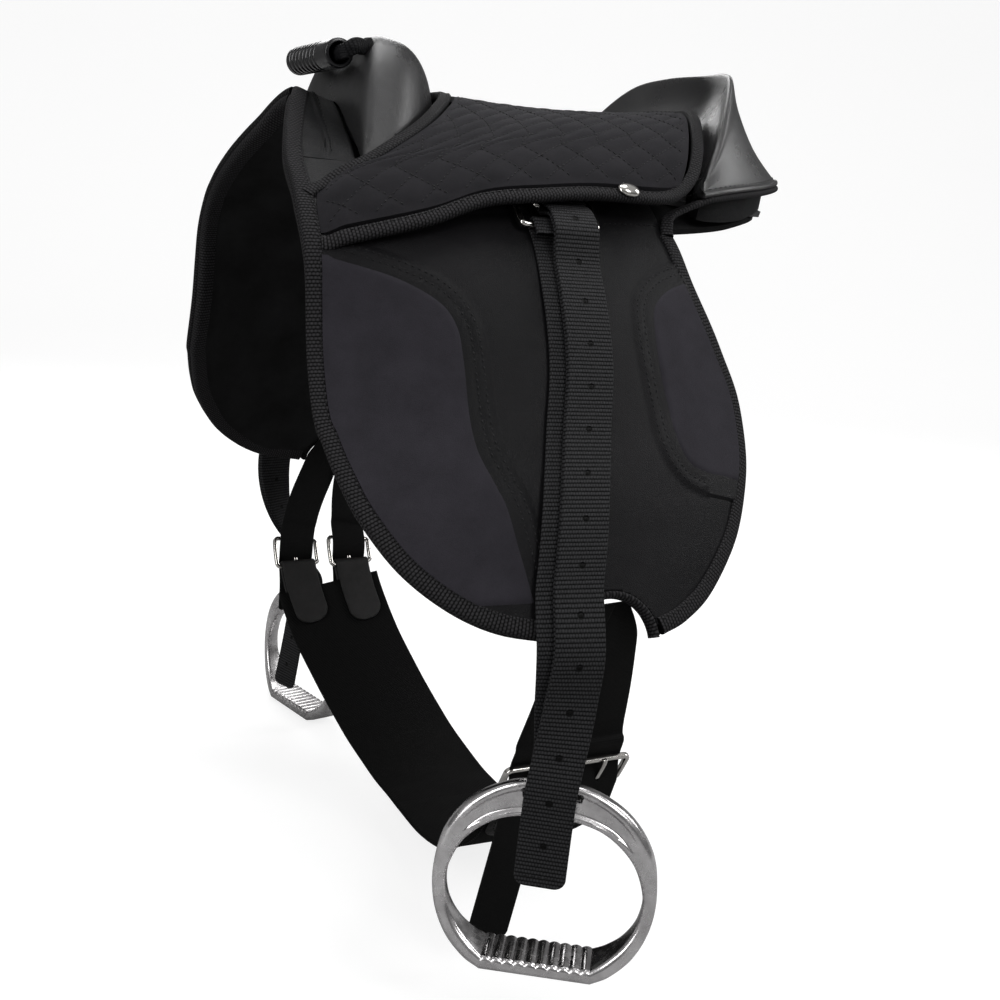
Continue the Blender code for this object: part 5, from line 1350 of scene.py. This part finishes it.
def pommel():
    y = np.linspace(-POMMEL_HALF, POMMEL_HALF, 121)[:, None]
    front, rear = pommel_span(y)
    c = np.cos(math.pi * np.linspace(0, 1, 37))[None, :]
    u = np.where(
        c > 0, POMMEL_PEAK * (1 - np.abs(c) ** (2 / POMMEL_POWER_FRONT)),
        POMMEL_PEAK + (1 - POMMEL_PEAK) * np.abs(c) ** (2 / POMMEL_POWER_REAR),
    )
    x = front + u * (rear - front)
    wide = np.broadcast_to(y, x.shape)
    top = top_height(x, wide) + POMMEL_BASE + table(SMOOTH["rise"], np.abs(y)) * pommel_share(u)
    low_x = front + np.array(POMMEL_UNDER)[None, :] * (rear - front)
    low_y = np.broadcast_to(y, low_x.shape)
    lower = np.stack([low_x, low_y, top_height(low_x, low_y) + 1.0], -1)
    rings = np.concatenate([np.stack([x, wide, top], -1), lower], 1)
    ride(tube("pommel_moulding", rings, "moulded_pu"), "saddle", "pommel_shell")

    front_edge = [(s, x) for x, s in inset(catmull(FRONT_EDGE, 8), BINDING_WIDTH - 2.0)]
    s = np.linspace(-FLAP_TOP + GAP, FLAP_TOP - GAP, 121)[:, None]
    left = table(front_edge, np.abs(s))
    right = pommel_front(s, FACING_FLARE_HALF) - 1.0
    x = left + np.linspace(0, 1, 31)[None, :] * (right - left)
    away = right - x
    lip = (1 - smoothly(away, LIP_WIDTH - 1.2, LIP_WIDTH)) * smoothly(away, -1.0, 1.4)
    height = 0.1 + LIP_RISE * lip * smoothly(FLAP_TOP - np.abs(s), 0.0, 16.0)
    facing = sheet("front_facing", lifted(x, s, height), lifted(x, s, TREE_IN), "panel_leather")
    ride(facing, "saddle", "pommel_front_panel")
    s = np.linspace(-FACING_SEAM_HALF, FACING_SEAM_HALF, 90)
    x = pommel_front(s, FACING_FLARE_HALF) - 1.0 - LIP_WIDTH + 3.2
    seam = (lifted(x, s, 0.1 + LIP_RISE + 0.35), face_normal(x, s))
    ride(stitches("front_facing_stitching", [seam]), "saddle")


def cantle_curves(w):
    """Inner edge, rim and flange at a place from centre (0) to wing tip (1)."""
    out = []
    for points in (CANTLE_INNER, CANTLE_RIM, CANTLE_FLANGE):
        line = catmull(with_mirror(points, (1, -1, 1)), 16)[16:]
        out.append(at_runs(line, [w * (len(line) - 1)], np.arange(len(line)))[0])
    return out


def cantle():
    rings, panel, tape, seam = [], [], [], []
    soft = math.hypot(1, CANTLE_SOFT)
    for q in np.linspace(-CANTLE_END, CANTLE_END, 121):
        w, side = abs(q), -1 if q < 0 else 1
        fade = (soft - math.hypot(w, CANTLE_SOFT)) / (soft - CANTLE_SOFT)
        lines = [c * np.array([1.0, side, 1.0]) for c in cantle_curves(w)]
        flange = lines[2]
        out = unit((flange - lines[0]) * (1, 1, 0))
        ring = []
        for place, outward, upward, hollow_out, hollow_up in CANTLE_SECTION:
            low = min(int(place), 1)
            base = lines[low] + (place - low) * (lines[low + 1] - lines[low])
            ring.append(base + (outward + fade * hollow_out) * out + (upward + fade * hollow_up) * UP)
        rings.append(catmull(ring[-2:] + ring + ring[:3], 4)[8:-12])
        if w < CANTLE_TAPE_END:
            tape.append(flange + CANTLE_TAPE_OUT * out + CANTLE_TAPE_UP * UP)
            seam.append(flange + CANTLE_SEAM_OUT * out + CANTLE_SEAM_UP * UP)
        if w < CANTLE_PANEL_END:
            top, deep = (flange + o * out + CANTLE_PANEL_UP * UP for o in CANTLE_PANEL_OUT)
            low_out, low_in = top - CANTLE_PANEL_LEAN * out, deep.copy()
            for corner in (low_out, low_in):
                corner[2] = top_height(corner[0], corner[1]) + CANTLE_PANEL_FOOT
            panel.append([top, deep, low_in, low_out])
    ride(tube("cantle_moulding", rings, "moulded_pu", sharp=60), "saddle", "cantle_shell")
    ride(tube("cantle_base", panel, "panel_leather"), "saddle", "cantle_under_panel")
    x, s, height = np.array(CANTLE_TAPE_DROP, float).T
    tape = catmull([*lifted(x, -s, height), *tape[::4], *lifted(x, s, height)[::-1]], 5)
    level = unit(np.cross(tangents(tape), UP))
    tape = swept("cantle_tape", tape, level, flat_profile(*CANTLE_TAPE, 1.6), "binding_tape", sharp=60)
    ride(tape, "saddle", "cantle_binding")
    seam = stitches("cantle_stitching", [(np.array(seam), CANTLE_SEAM_NORMAL)], long=2.8, pitch=4.2)
    ride(seam, "saddle")


# Guide lines for straps

def line_at(line, d):
    """Points, directions across, normals and directions along, at distances on a guide line."""
    along, points, across, normals = line
    d = np.atleast_1d(np.asarray(d, float))
    k = np.clip(np.searchsorted(along, d) - 1, 0, len(along) - 2)
    t = ((d - along[k]) / (along[k + 1] - along[k]))[:, None]
    held = t.clip(0, 1)
    step = points[k + 1] - points[k]
    side = unit(across[k] + held * (across[k + 1] - across[k]))
    normal = normals[k] + held * (normals[k + 1] - normals[k])
    normal = unit(normal - (normal * side).sum(-1, keepdims=True) * side)
    forward = np.cross(side, normal)
    forward = forward * np.where((forward * step).sum(-1) < 0, -1, 1)[:, None]
    return points[k] + t * step, side, normal, forward


def line_shifted(line, d, aside, height):
    """Points beside and above a guide line at these distances, with the directions there."""
    point, across, normal, _ = line_at(line, d)
    aside, height = (np.broadcast_to(v, len(point))[:, None] for v in (aside, height))
    return point + aside * across + height * normal, across, normal


def smooth_line(line, steps=8):
    """The same guide line with curves in place of its corners."""
    columns = catmull(np.column_stack([line[0], *line[1:]]), steps)
    return columns[:, 0], columns[:, 1:4], unit(columns[:, 4:7]), unit(columns[:, 7:10])


def ribbon(name, line, path, width, thick, kind, round_start=0.0, round_end=0.0, step=1.2, corner=None):
    """Flat webbing along a path of (distance, height, shift aside) over a guide line."""
    path = catmull([(*stop, 0.0)[:3] for stop in path], 5)
    run = run_of(path)
    total = run[-1]
    bend = 1 - np.cos(np.linspace(0, math.pi / 2, 7))
    even = np.linspace(0, total, int(total / step) + 2)
    runs = np.unique(np.concatenate([even, round_start * bend, total - round_end * bend]).round(3))
    path = at_runs(path, runs, run)
    point, side, normal, forward = line_at(line, path[:, 0])
    slope = tangents(path[:, :2])
    up = slope[:, :1] * normal - slope[:, 1:] * forward
    narrow = np.zeros(len(runs))
    for radius, away in ((round_start, runs), (round_end, total - runs)):
        if radius:
            lost = radius - np.sqrt(np.maximum(0.0, radius**2 - np.maximum(0.0, radius - away) ** 2))
            narrow = np.maximum(narrow, lost)
    share = 1 - 2 * np.minimum(narrow, 0.46 * width) / width
    profile = flat_profile(width, thick, corner)
    centre = point + path[:, 1:2] * normal + path[:, 2:] * side
    across = share[:, None] * profile[:, 0]
    rings = centre[:, None] + across[..., None] * side[:, None] + profile[:, 1:] * up[:, None]
    return tube(name, rings, kind, uv=laid(runs, across), sharp=60)


def arc(centre, radius, start, end, steps=12):
    """Points of (distance, height) round a bar, between two angles in degrees."""
    turns = np.radians(np.linspace(start, end, steps + 1))
    return [(centre[0] + radius * math.cos(t), centre[1] + radius * math.sin(t)) for t in turns]


def frame_loop(name, line, low, high, half, height_low, height_high, section, kind, corner=2.4):
    """A closed rectangular frame that lies along a guide line."""
    places = []
    for sx, sd, start in ((1, 1, 0), (-1, 1, 90), (-1, -1, 180), (1, -1, 270)):
        for turn in np.linspace(0, 90, 7):
            angle = math.radians(start + turn)
            places.append((sx * (half - corner) + corner * math.cos(angle),
                           (high if sd > 0 else low) - sd * corner + corner * math.sin(angle)))
    places = evenly(np.array(places + places[:1]), 1.0)[:-1]
    height = height_low + (height_high - height_low) * (places[:, 1] - low) / (high - low)
    loop, _, normal = line_shifted(line, places[:, 1], places[:, 0], height)
    return swept(name, loop, normal, section, kind, closed=True, sharp=50)


# Stirrups

def strap_guide(word, side):
    """Guide line of a stirrup strap: its distance is the drop from the spine while on the flap."""
    x, s = catmull(STRAP_LINE[word], 3).T
    points, normals, drops = list(on_face(x, side * s)), list(face_normal(x, side * s)), list(s)
    for x, y, z in STRAP_FREE[word]:
        point = np.array((x, side * y, z))
        twist = math.radians(table(STRAP_TWIST[word], z))
        drops.append(drops[-1] + np.linalg.norm(point - points[-1]))
        points.append(point)
        normals.append(np.array((-math.sin(twist), side * math.cos(twist), 0.0)))
    points = np.array(points)
    twist = np.radians(table(STRAP_TWIST[word], points[:, 2]))
    across = np.column_stack([np.cos(twist), side * np.sin(twist), 0 * twist])
    return np.array(drops), points, across, np.array(normals)


def ply_height(d, opened, ply):
    """Height of the second or third layer of the strap over its first."""
    height = table(STRAP_SECOND, d) + table(STRAP_HUMP, d) + opened
    return height if ply == 1 else height + table(STRAP_THIRD, d)


def rows_between(start, end, step):
    return list(np.linspace(start, end, max(2, round((end - start) / step) + 1)))


def strap_path(bar_drop, tail, back_shift):
    """The strap as one webbing: from the ring down, round the iron's bar, up to the buckle, down."""
    half = STRAP_THICK / 2
    ring_reach = RING_WIRE / 2 + 0.5 + half
    path = [(RING_DROP + 9, RING_LIFT + ring_reach), (RING_DROP + 4, RING_LIFT + ring_reach)]
    path += arc((RING_DROP, RING_LIFT), ring_reach, 90, 270)
    path += [(d, table(STRAP_HEIGHTS, d)) for d in rows_between(RING_DROP + 10, bar_drop, 15)]

    def gap_at(d):
        return table(STRAP_OPEN, bar_drop - d) if d < bar_drop else STRAP_OPEN[0][1]

    def shift(d):
        return -back_shift * max(0.0, min(1.0, (bar_drop - SHIFT_END - d) / SHIFT_FADE))

    path = [(d, h, shift(d)) for d, h in path]
    reach = (STRAP_PLY + STRAP_OPEN[0][1]) / 2
    bar_height = table(STRAP_HEIGHTS, bar_drop) + reach
    path += arc((bar_drop, bar_height), reach, -60, 60, 8)
    buckled = table(STRAP_HEIGHTS, STRAP_BUCKLE_DROP) + table(STRAP_SECOND, STRAP_BUCKLE_DROP)
    turn = (STRAP_BUCKLE_DROP, buckled + STRAP_BUCKLE_WIRE / 2 + WRAP_CLEAR + half)
    rising = sorted({*rows_between(STRAP_HUMP[-1][0], bar_drop, 15), *(d for d, _ in STRAP_HUMP)})
    for d in reversed(rising):
        path.append((d, table(STRAP_HEIGHTS, d) + ply_height(d, gap_at(d), 1)))
    path += arc(turn, STRAP_BUCKLE_WIRE / 2 + WRAP_CLEAR + half, 270, 90)
    for d in [*rising, bar_drop + tail / 2, bar_drop + tail]:
        path.append((d, table(STRAP_HEIGHTS, d) + ply_height(d, gap_at(d), 2)))
    return path, bar_height, turn


def iron_ring(out, into, depth, recess):
    """A section of the iron, in its own plane, with its two faces hollowed between rim and band."""
    a, b = np.array((out[0], 0, out[1])), np.array((into[0], 0, into[1]))
    wide = np.linalg.norm(b - a)
    section = flat_profile(wide, depth, 0.34 * min(wide, depth), 19, 4)
    place = section[:, 0] + wide / 2
    window = smoothly(place, RIM_WIDTH - 0.9, RIM_WIDTH + 0.9)
    window *= smoothly(wide - place, BAND_WIDTH - 0.9, BAND_WIDTH + 0.9)
    section[:, 1] -= np.sign(section[:, 1]) * recess * window
    return (a + b) / 2 + section[:, :1] * (b - a) / wide + section[:, 1:] * np.array((0.0, 1.0, 0.0))


def iron(name):
    """A stirrup iron in its own plane: x across, z up from the middle of the bar that carries it."""
    outer, inner = catmull(IRON_OUTER, 9), catmull(IRON_INNER, 9)
    share = np.linspace(0, 1, len(outer))
    depths = catmull(np.column_stack([np.linspace(0, 1, len(IRON_DEPTHS)), IRON_DEPTHS]), 9)[:, 1]
    recess = WEB_RECESS * (1 - smoothly(share, *WEB_END))
    half = list(zip(outer, inner, depths, recess))
    rings = [iron_ring(*values) for values in half]
    (end, low), (_, high) = outer[-1], inner[-1]
    for x in np.linspace(end, -end, TREAD_RIBS * 10 + 1)[1:-1]:
        turn = TREAD_RIBS * (0.5 - 0.5 * x / end)
        rise = TREAD_RISE * abs(math.sin(math.pi * turn)) ** 0.8
        rings.append(iron_ring((x, low), (x, high + rise), depths[-1] + 0.6 * rise, 0.0))
    mirror = np.array((-1.0, 1.0, 1.0))
    rings += [iron_ring(*values) * mirror for values in reversed(half[1:])]
    made = tube(name, rings, "cast_aluminium", closed=True, sharp=50)
    half = SLOT_WIDTH / 2
    corners = [(-half, SLOT_BOTTOM), (half, SLOT_BOTTOM), (half, SLOT_TOP), (-half, SLOT_TOP)]
    slot = tube("slot", [[(x, y, z) for x, z in corners] for y in (-20.0, 20.0)], "cast_aluminium")
    return cut(made, slot)


def stirrups():
    for word, side in SIDES:
        guide = strap_guide(word, side)
        line = smooth_line(guide)
        body = f"leather_{word}"
        ring = evenly(catmull(RING_PATH, 8), 1.0)
        points, _, normal = line_shifted(line, ring[:, 1], ring[:, 0], ring[:, 2])
        ring = swept(f"leather_ring_{word}", points, normal, wire(RING_WIRE / 2), "plated_steel")
        ride(ring, body, f"stirrup_ring_{word}")

        bar_drop = float(np.interp(-IRON_BAR_Z[word], -guide[1][:, 2], guide[0]))
        path, bar_height, (drop, height) = strap_path(bar_drop, TAIL_LENGTHS[word], BACK_PLY_SHIFT[word])
        strap = ribbon(
            f"stirrup_webbing_{word}", line, path, STRAP_WIDTH, STRAP_THICK, "strap_webbing",
            round_end=5.0)
        ride(strap, body, f"stirrup_strap_{word}")
        half = (STRAP_WIDTH + STRAP_BUCKLE_WIRE) / 2 + GAP
        buckle = frame_loop(
            f"leather_buckle_{word}", line, drop, drop + STRAP_BUCKLE_LONG, half, height, height,
            wire(STRAP_BUCKLE_WIRE / 2), "plated_steel")
        ride(buckle, body, f"strap_buckle_{word}")
        stops = [(drop + d, height + h) for d, h in STRAP_TONGUE_PATH]
        tongue = ribbon(f"leather_tongue_{word}", line, stops, *STRAP_TONGUE, "plated_steel")
        ride(tongue, body, f"strap_tongue_{word}")
        aside = np.linspace(-HEM_HALF, HEM_HALF, 12)
        outside = table(STRAP_HEIGHTS, bar_drop) + ply_height(bar_drop, STRAP_OPEN[0][1], 2)
        outside += STRAP_THICK / 2
        drops = np.full(12, bar_drop + TAIL_LENGTHS[word] - HEM_FROM_END)
        hem, _, normal = line_shifted(line, drops, aside, outside)
        ride(stitches(f"strap_hem_stitching_{word}", [(hem, normal)]), body)

        point, across, normal, _ = (v[0] for v in line_at(guide, bar_drop))
        made = iron(f"iron_casting_{word}")
        turn = math.atan2(across[1], across[0])
        place = (point + bar_height * normal) * MM
        made.data.transform(Matrix.Translation(place) @ Matrix.Rotation(turn, 4, "Z"))
        ride(made, f"iron_{word}", f"stirrup_iron_{word}")


# Girth

def girth_guide(word, side, spread=((0.0, 0.0), (1.0, 0.0)), hangs=False):
    """Guide line of half the girth, from its bottom up, with the distance zero at the buckle's bar."""
    points = catmull(GIRTH_LINES[word], 3)
    bar_z, top_z = GIRTH_BAR_Z[word], points[-1][2]
    share = np.clip((points[:, 2] - bar_z) / (top_z - bar_z), 0, 1)
    shifted = points + np.outer(table(spread, share), (1.0, 0.0, 0.0))
    along = tangents(points)
    across = unit(np.array((1.0, 0.0, 0.0)) - along[:, :1] * along)
    normals = np.cross(along, across)
    away = points * (0, 1, 1) + (0, 0, 200)
    normals = normals * np.where((normals * away).sum(-1) < 0, -1, 1)[:, None]
    run = run_of(shifted)
    run = run - np.interp(bar_z, points[:, 2], run)
    line = (run, shifted, across, normals)
    if not hangs:
        return smooth_line(line, 6)
    start, aside, _, _ = (v[0] for v in line_at(line, HANG_FROM))
    down = unit((TAIL_LEAN[word], 0.0, -1.0))
    kept, count = run > HANG_FROM, len(HANG_STEPS)
    places = np.vstack([[start + t * down for t in HANG_STEPS], shifted[kept]])
    across = np.vstack([[aside] * count, across[kept]])
    normals = np.vstack([[(0.0, side, 0.0)] * count, normals[kept]])
    run = np.array([*(HANG_FROM - t for t in HANG_STEPS), *run[kept]])
    return smooth_line((run, places, across, normals), 6)


def girth_band():
    points, sides, ups = [], [], []
    for word, side in SIDES:
        line = girth_guide(word, side)
        point, across, normal, _ = line_at(line, np.linspace(line[0][0], -BAND_STOP, 180))
        order = slice(None, None, -1) if side < 0 else slice(1, None)
        points.append(point[order])
        sides.append(across[order])
        ups.append(normal[order])
    points, sides, ups = (np.vstack(v) for v in (points, sides, ups))
    section = flat_profile(GIRTH_WIDTH, GIRTH_THICK, 1.4, 41)
    run = run_of(points)
    wave = 0.25 * np.sin(run / 21)[:, None] * np.cos(section[:, 0] / 13)
    wave = wave + 0.15 * np.sin(run[:, None] / 7 + section[:, 0] / 9)
    height = section[:, 1] + wave
    rings = points[:, None] + section[:, :1] * sides[:, None] + height[..., None] * ups[:, None]
    band = tube("girth_webbing", rings, "girth_weave", uv=laid(run, section[:, 0]), sharp=60)
    ride(band, "girth", "girth_band")
    outer = GIRTH_THICK / 2 + 0.1
    rows = [(points + a * sides + outer * ups, ups) for a in (-GIRTH_SEAM, GIRTH_SEAM)]
    ride(stitches("girth_stitching", rows), "girth")


def girth():
    girth_band()
    tab_height = GIRTH_THICK / 2 + GAP + 0.1 + TAB_THICK / 2
    over = tab_height + TAB_THICK / 2 + GAP + BILLET_THICK / 2
    buckle_wire = flat_profile(BUCKLE_WIRE, 0.8 * BUCKLE_WIRE, 1.0, 3)
    tab_path = [(d, tab_height) for d in TAB_STOPS] + arc((0.0, 0.0), tab_height, 90, -90)
    tab_path += [(d, -tab_height) for d in reversed(TAB_STOPS)]
    outline = [(d, -a) for d, a in reversed(TAB_SEAM[1:])] + TAB_SEAM
    tab_seam = evenly(catmull(outline, 6), 1.5)
    for word, side in SIDES:
        for k, (place, flip) in enumerate((("front", -1), ("rear", 1))):
            tail = f"{word}_{place}"
            apart = flip * BUCKLE_SPACING / 2
            line = girth_guide(word, side, [(0.0, apart), (1.0, apart)])
            tab = ribbon(
                f"buckle_tab_{tail}", line, tab_path, TAB_WIDTH, TAB_THICK, "strap_leather",
                round_start=10.0, round_end=10.0)

            spread = [(share, flip * x) for share, x in BILLET_SPREAD]
            billet_line = girth_guide(word, side, spread, True)
            top = billet_line[0][-1] - 3.0
            path = [(d, BILLET_LAYERS[place]) for d in rows_between(top, BILLETS_PART, 15)]
            path += [*BILLET_THROUGH, (4.0, over - 0.2)]
            path += [(d, over) for d in rows_between(0.0, -BILLET_TAILS[word][k], 14)]
            billet = ribbon(
                f"billet_strap_{tail}", billet_line, path, BILLET_WIDTH, BILLET_THICK, "billet_webbing",
                round_end=2.5)
            buckle = frame_loop(
                f"buckle_frame_{tail}", line, 0.0, BUCKLE_LONG, BUCKLE_HALF, 0.0, 1.8, buckle_wire,
                "plated_steel", corner=2.8)
            tongue = ribbon(
                f"buckle_tongue_{tail}", line, TONGUE_PATH, TONGUE_WIDTH, TONGUE_THICK, "plated_steel",
                round_end=1.2, corner=0.7)
            for piece in (tab, billet):
                hole = ribbon(
                    "hole", line, TONGUE_HOLE, TONGUE_WIDTH + 2 * GAP, TONGUE_THICK + 2 * GAP,
                    "plated_steel", step=3.0)
                cut(piece, hole, crossed=True)
            for piece, node in ((tab, "tab"), (billet, "billet"), (buckle, "buckle"), (tongue, "tongue")):
                ride(piece, "girth", f"girth_{node}_{tail}")
            seam, _, normal = line_shifted(line, *tab_seam.T, tab_height + TAB_THICK / 2)
            ride(stitches(f"tab_stitching_{tail}", [(seam, normal)]), "girth")


# Grab handle

def handle():
    front, rear = (float(v[0]) for v in pommel_span(np.array([HANDLE_Y])))
    share = float(pommel_share((HANDLE_X - front) / (rear - front)))
    peak = top_height(HANDLE_X, HANDLE_Y) + POMMEL_BASE + table(POMMEL_RISE, HANDLE_Y) * share
    stops = [(HANDLE_X, HANDLE_Y, float(peak) + HANDLE_CLEAR - BRAID_SINK), *BRAID_LINE]
    line = catmull([*((x, -y, z) for x, y, z in stops), (GRIP_X, 0, GRIP_Z), *reversed(stops)], 16)
    share = np.abs(np.linspace(-1, 1, len(line)))
    along = tangents(line)
    side = unit(UP - along[:, 2:] * along)
    up = unit(np.cross(along, side))
    run = run_of(line)
    turns = circle(36)
    phase = 2 * np.pi * run[:, None] / BRAID_PITCH
    lays = np.maximum(np.cos(3 * turns + phase), np.cos(3 * turns - phase))
    swell = 1 + BRAID_SWELL * (lays - 0.6)
    a = table(BRAID_WIDTH, share)[:, None] / 2 * swell * np.cos(turns)
    b = table(BRAID_THICK, share)[:, None] / 2 * swell * np.sin(turns)
    rings = line[:, None] + a[..., None] * side[:, None] + b[..., None] * up[:, None]
    braid = tube("handle_braid", rings, "handle_weave", uv=laid(run, a), sharp=60)
    ride(braid, "handle", "handle_webbing")

    y = np.linspace(-GRIP_HALF, GRIP_HALF, 260)
    end = np.minimum(GRIP_HALF - np.abs(y), 1.2) / 1.2
    radius = GRIP_RADIUS - 0.9 * (1 - np.sqrt(1 - (1 - end) ** 2))
    start, stop = GRIP_RIB_SPAN
    ribbed = smoothly(y, start - 1, start + 1) * (1 - smoothly(y, stop - 1, stop + 1))
    phase = (y - start) / (stop - start) * GRIP_RIB_COUNT
    radius = radius - GRIP_GROOVE * ribbed * (1 - smoothly(np.abs(np.sin(math.pi * phase)), 0.2, 0.85))
    inside = [(GRIP_HALF, GRIP_BORE + 0.3), (GRIP_HALF - 0.8, GRIP_BORE)]
    outline = [*zip(y, radius), *inside, *((-y, r) for y, r in reversed(inside))]
    x, z = np.cos(circle(40)), np.sin(circle(40))
    rings = [np.column_stack([GRIP_X + r * x, np.full(40, y), GRIP_Z + r * z]) for y, r in outline]
    sleeve = tube("grip_sleeve", rings, "grip_rubber", closed=True, sharp=50)
    ride(sleeve, "handle", "handle_grip")


def main():
    stage()
    lamps()
    camera()
    pads()
    flaps()
    patches()
    flap_stitching()
    tapes()
    seat()
    studs()
    pommel()
    cantle()
    stirrups()
    girth()
    handle()
    tree = bpy.data.objects["tree"]
    tree.data.materials.clear()
    tree.data.materials.append(MATERIALS["tree_plastic"]())


main()
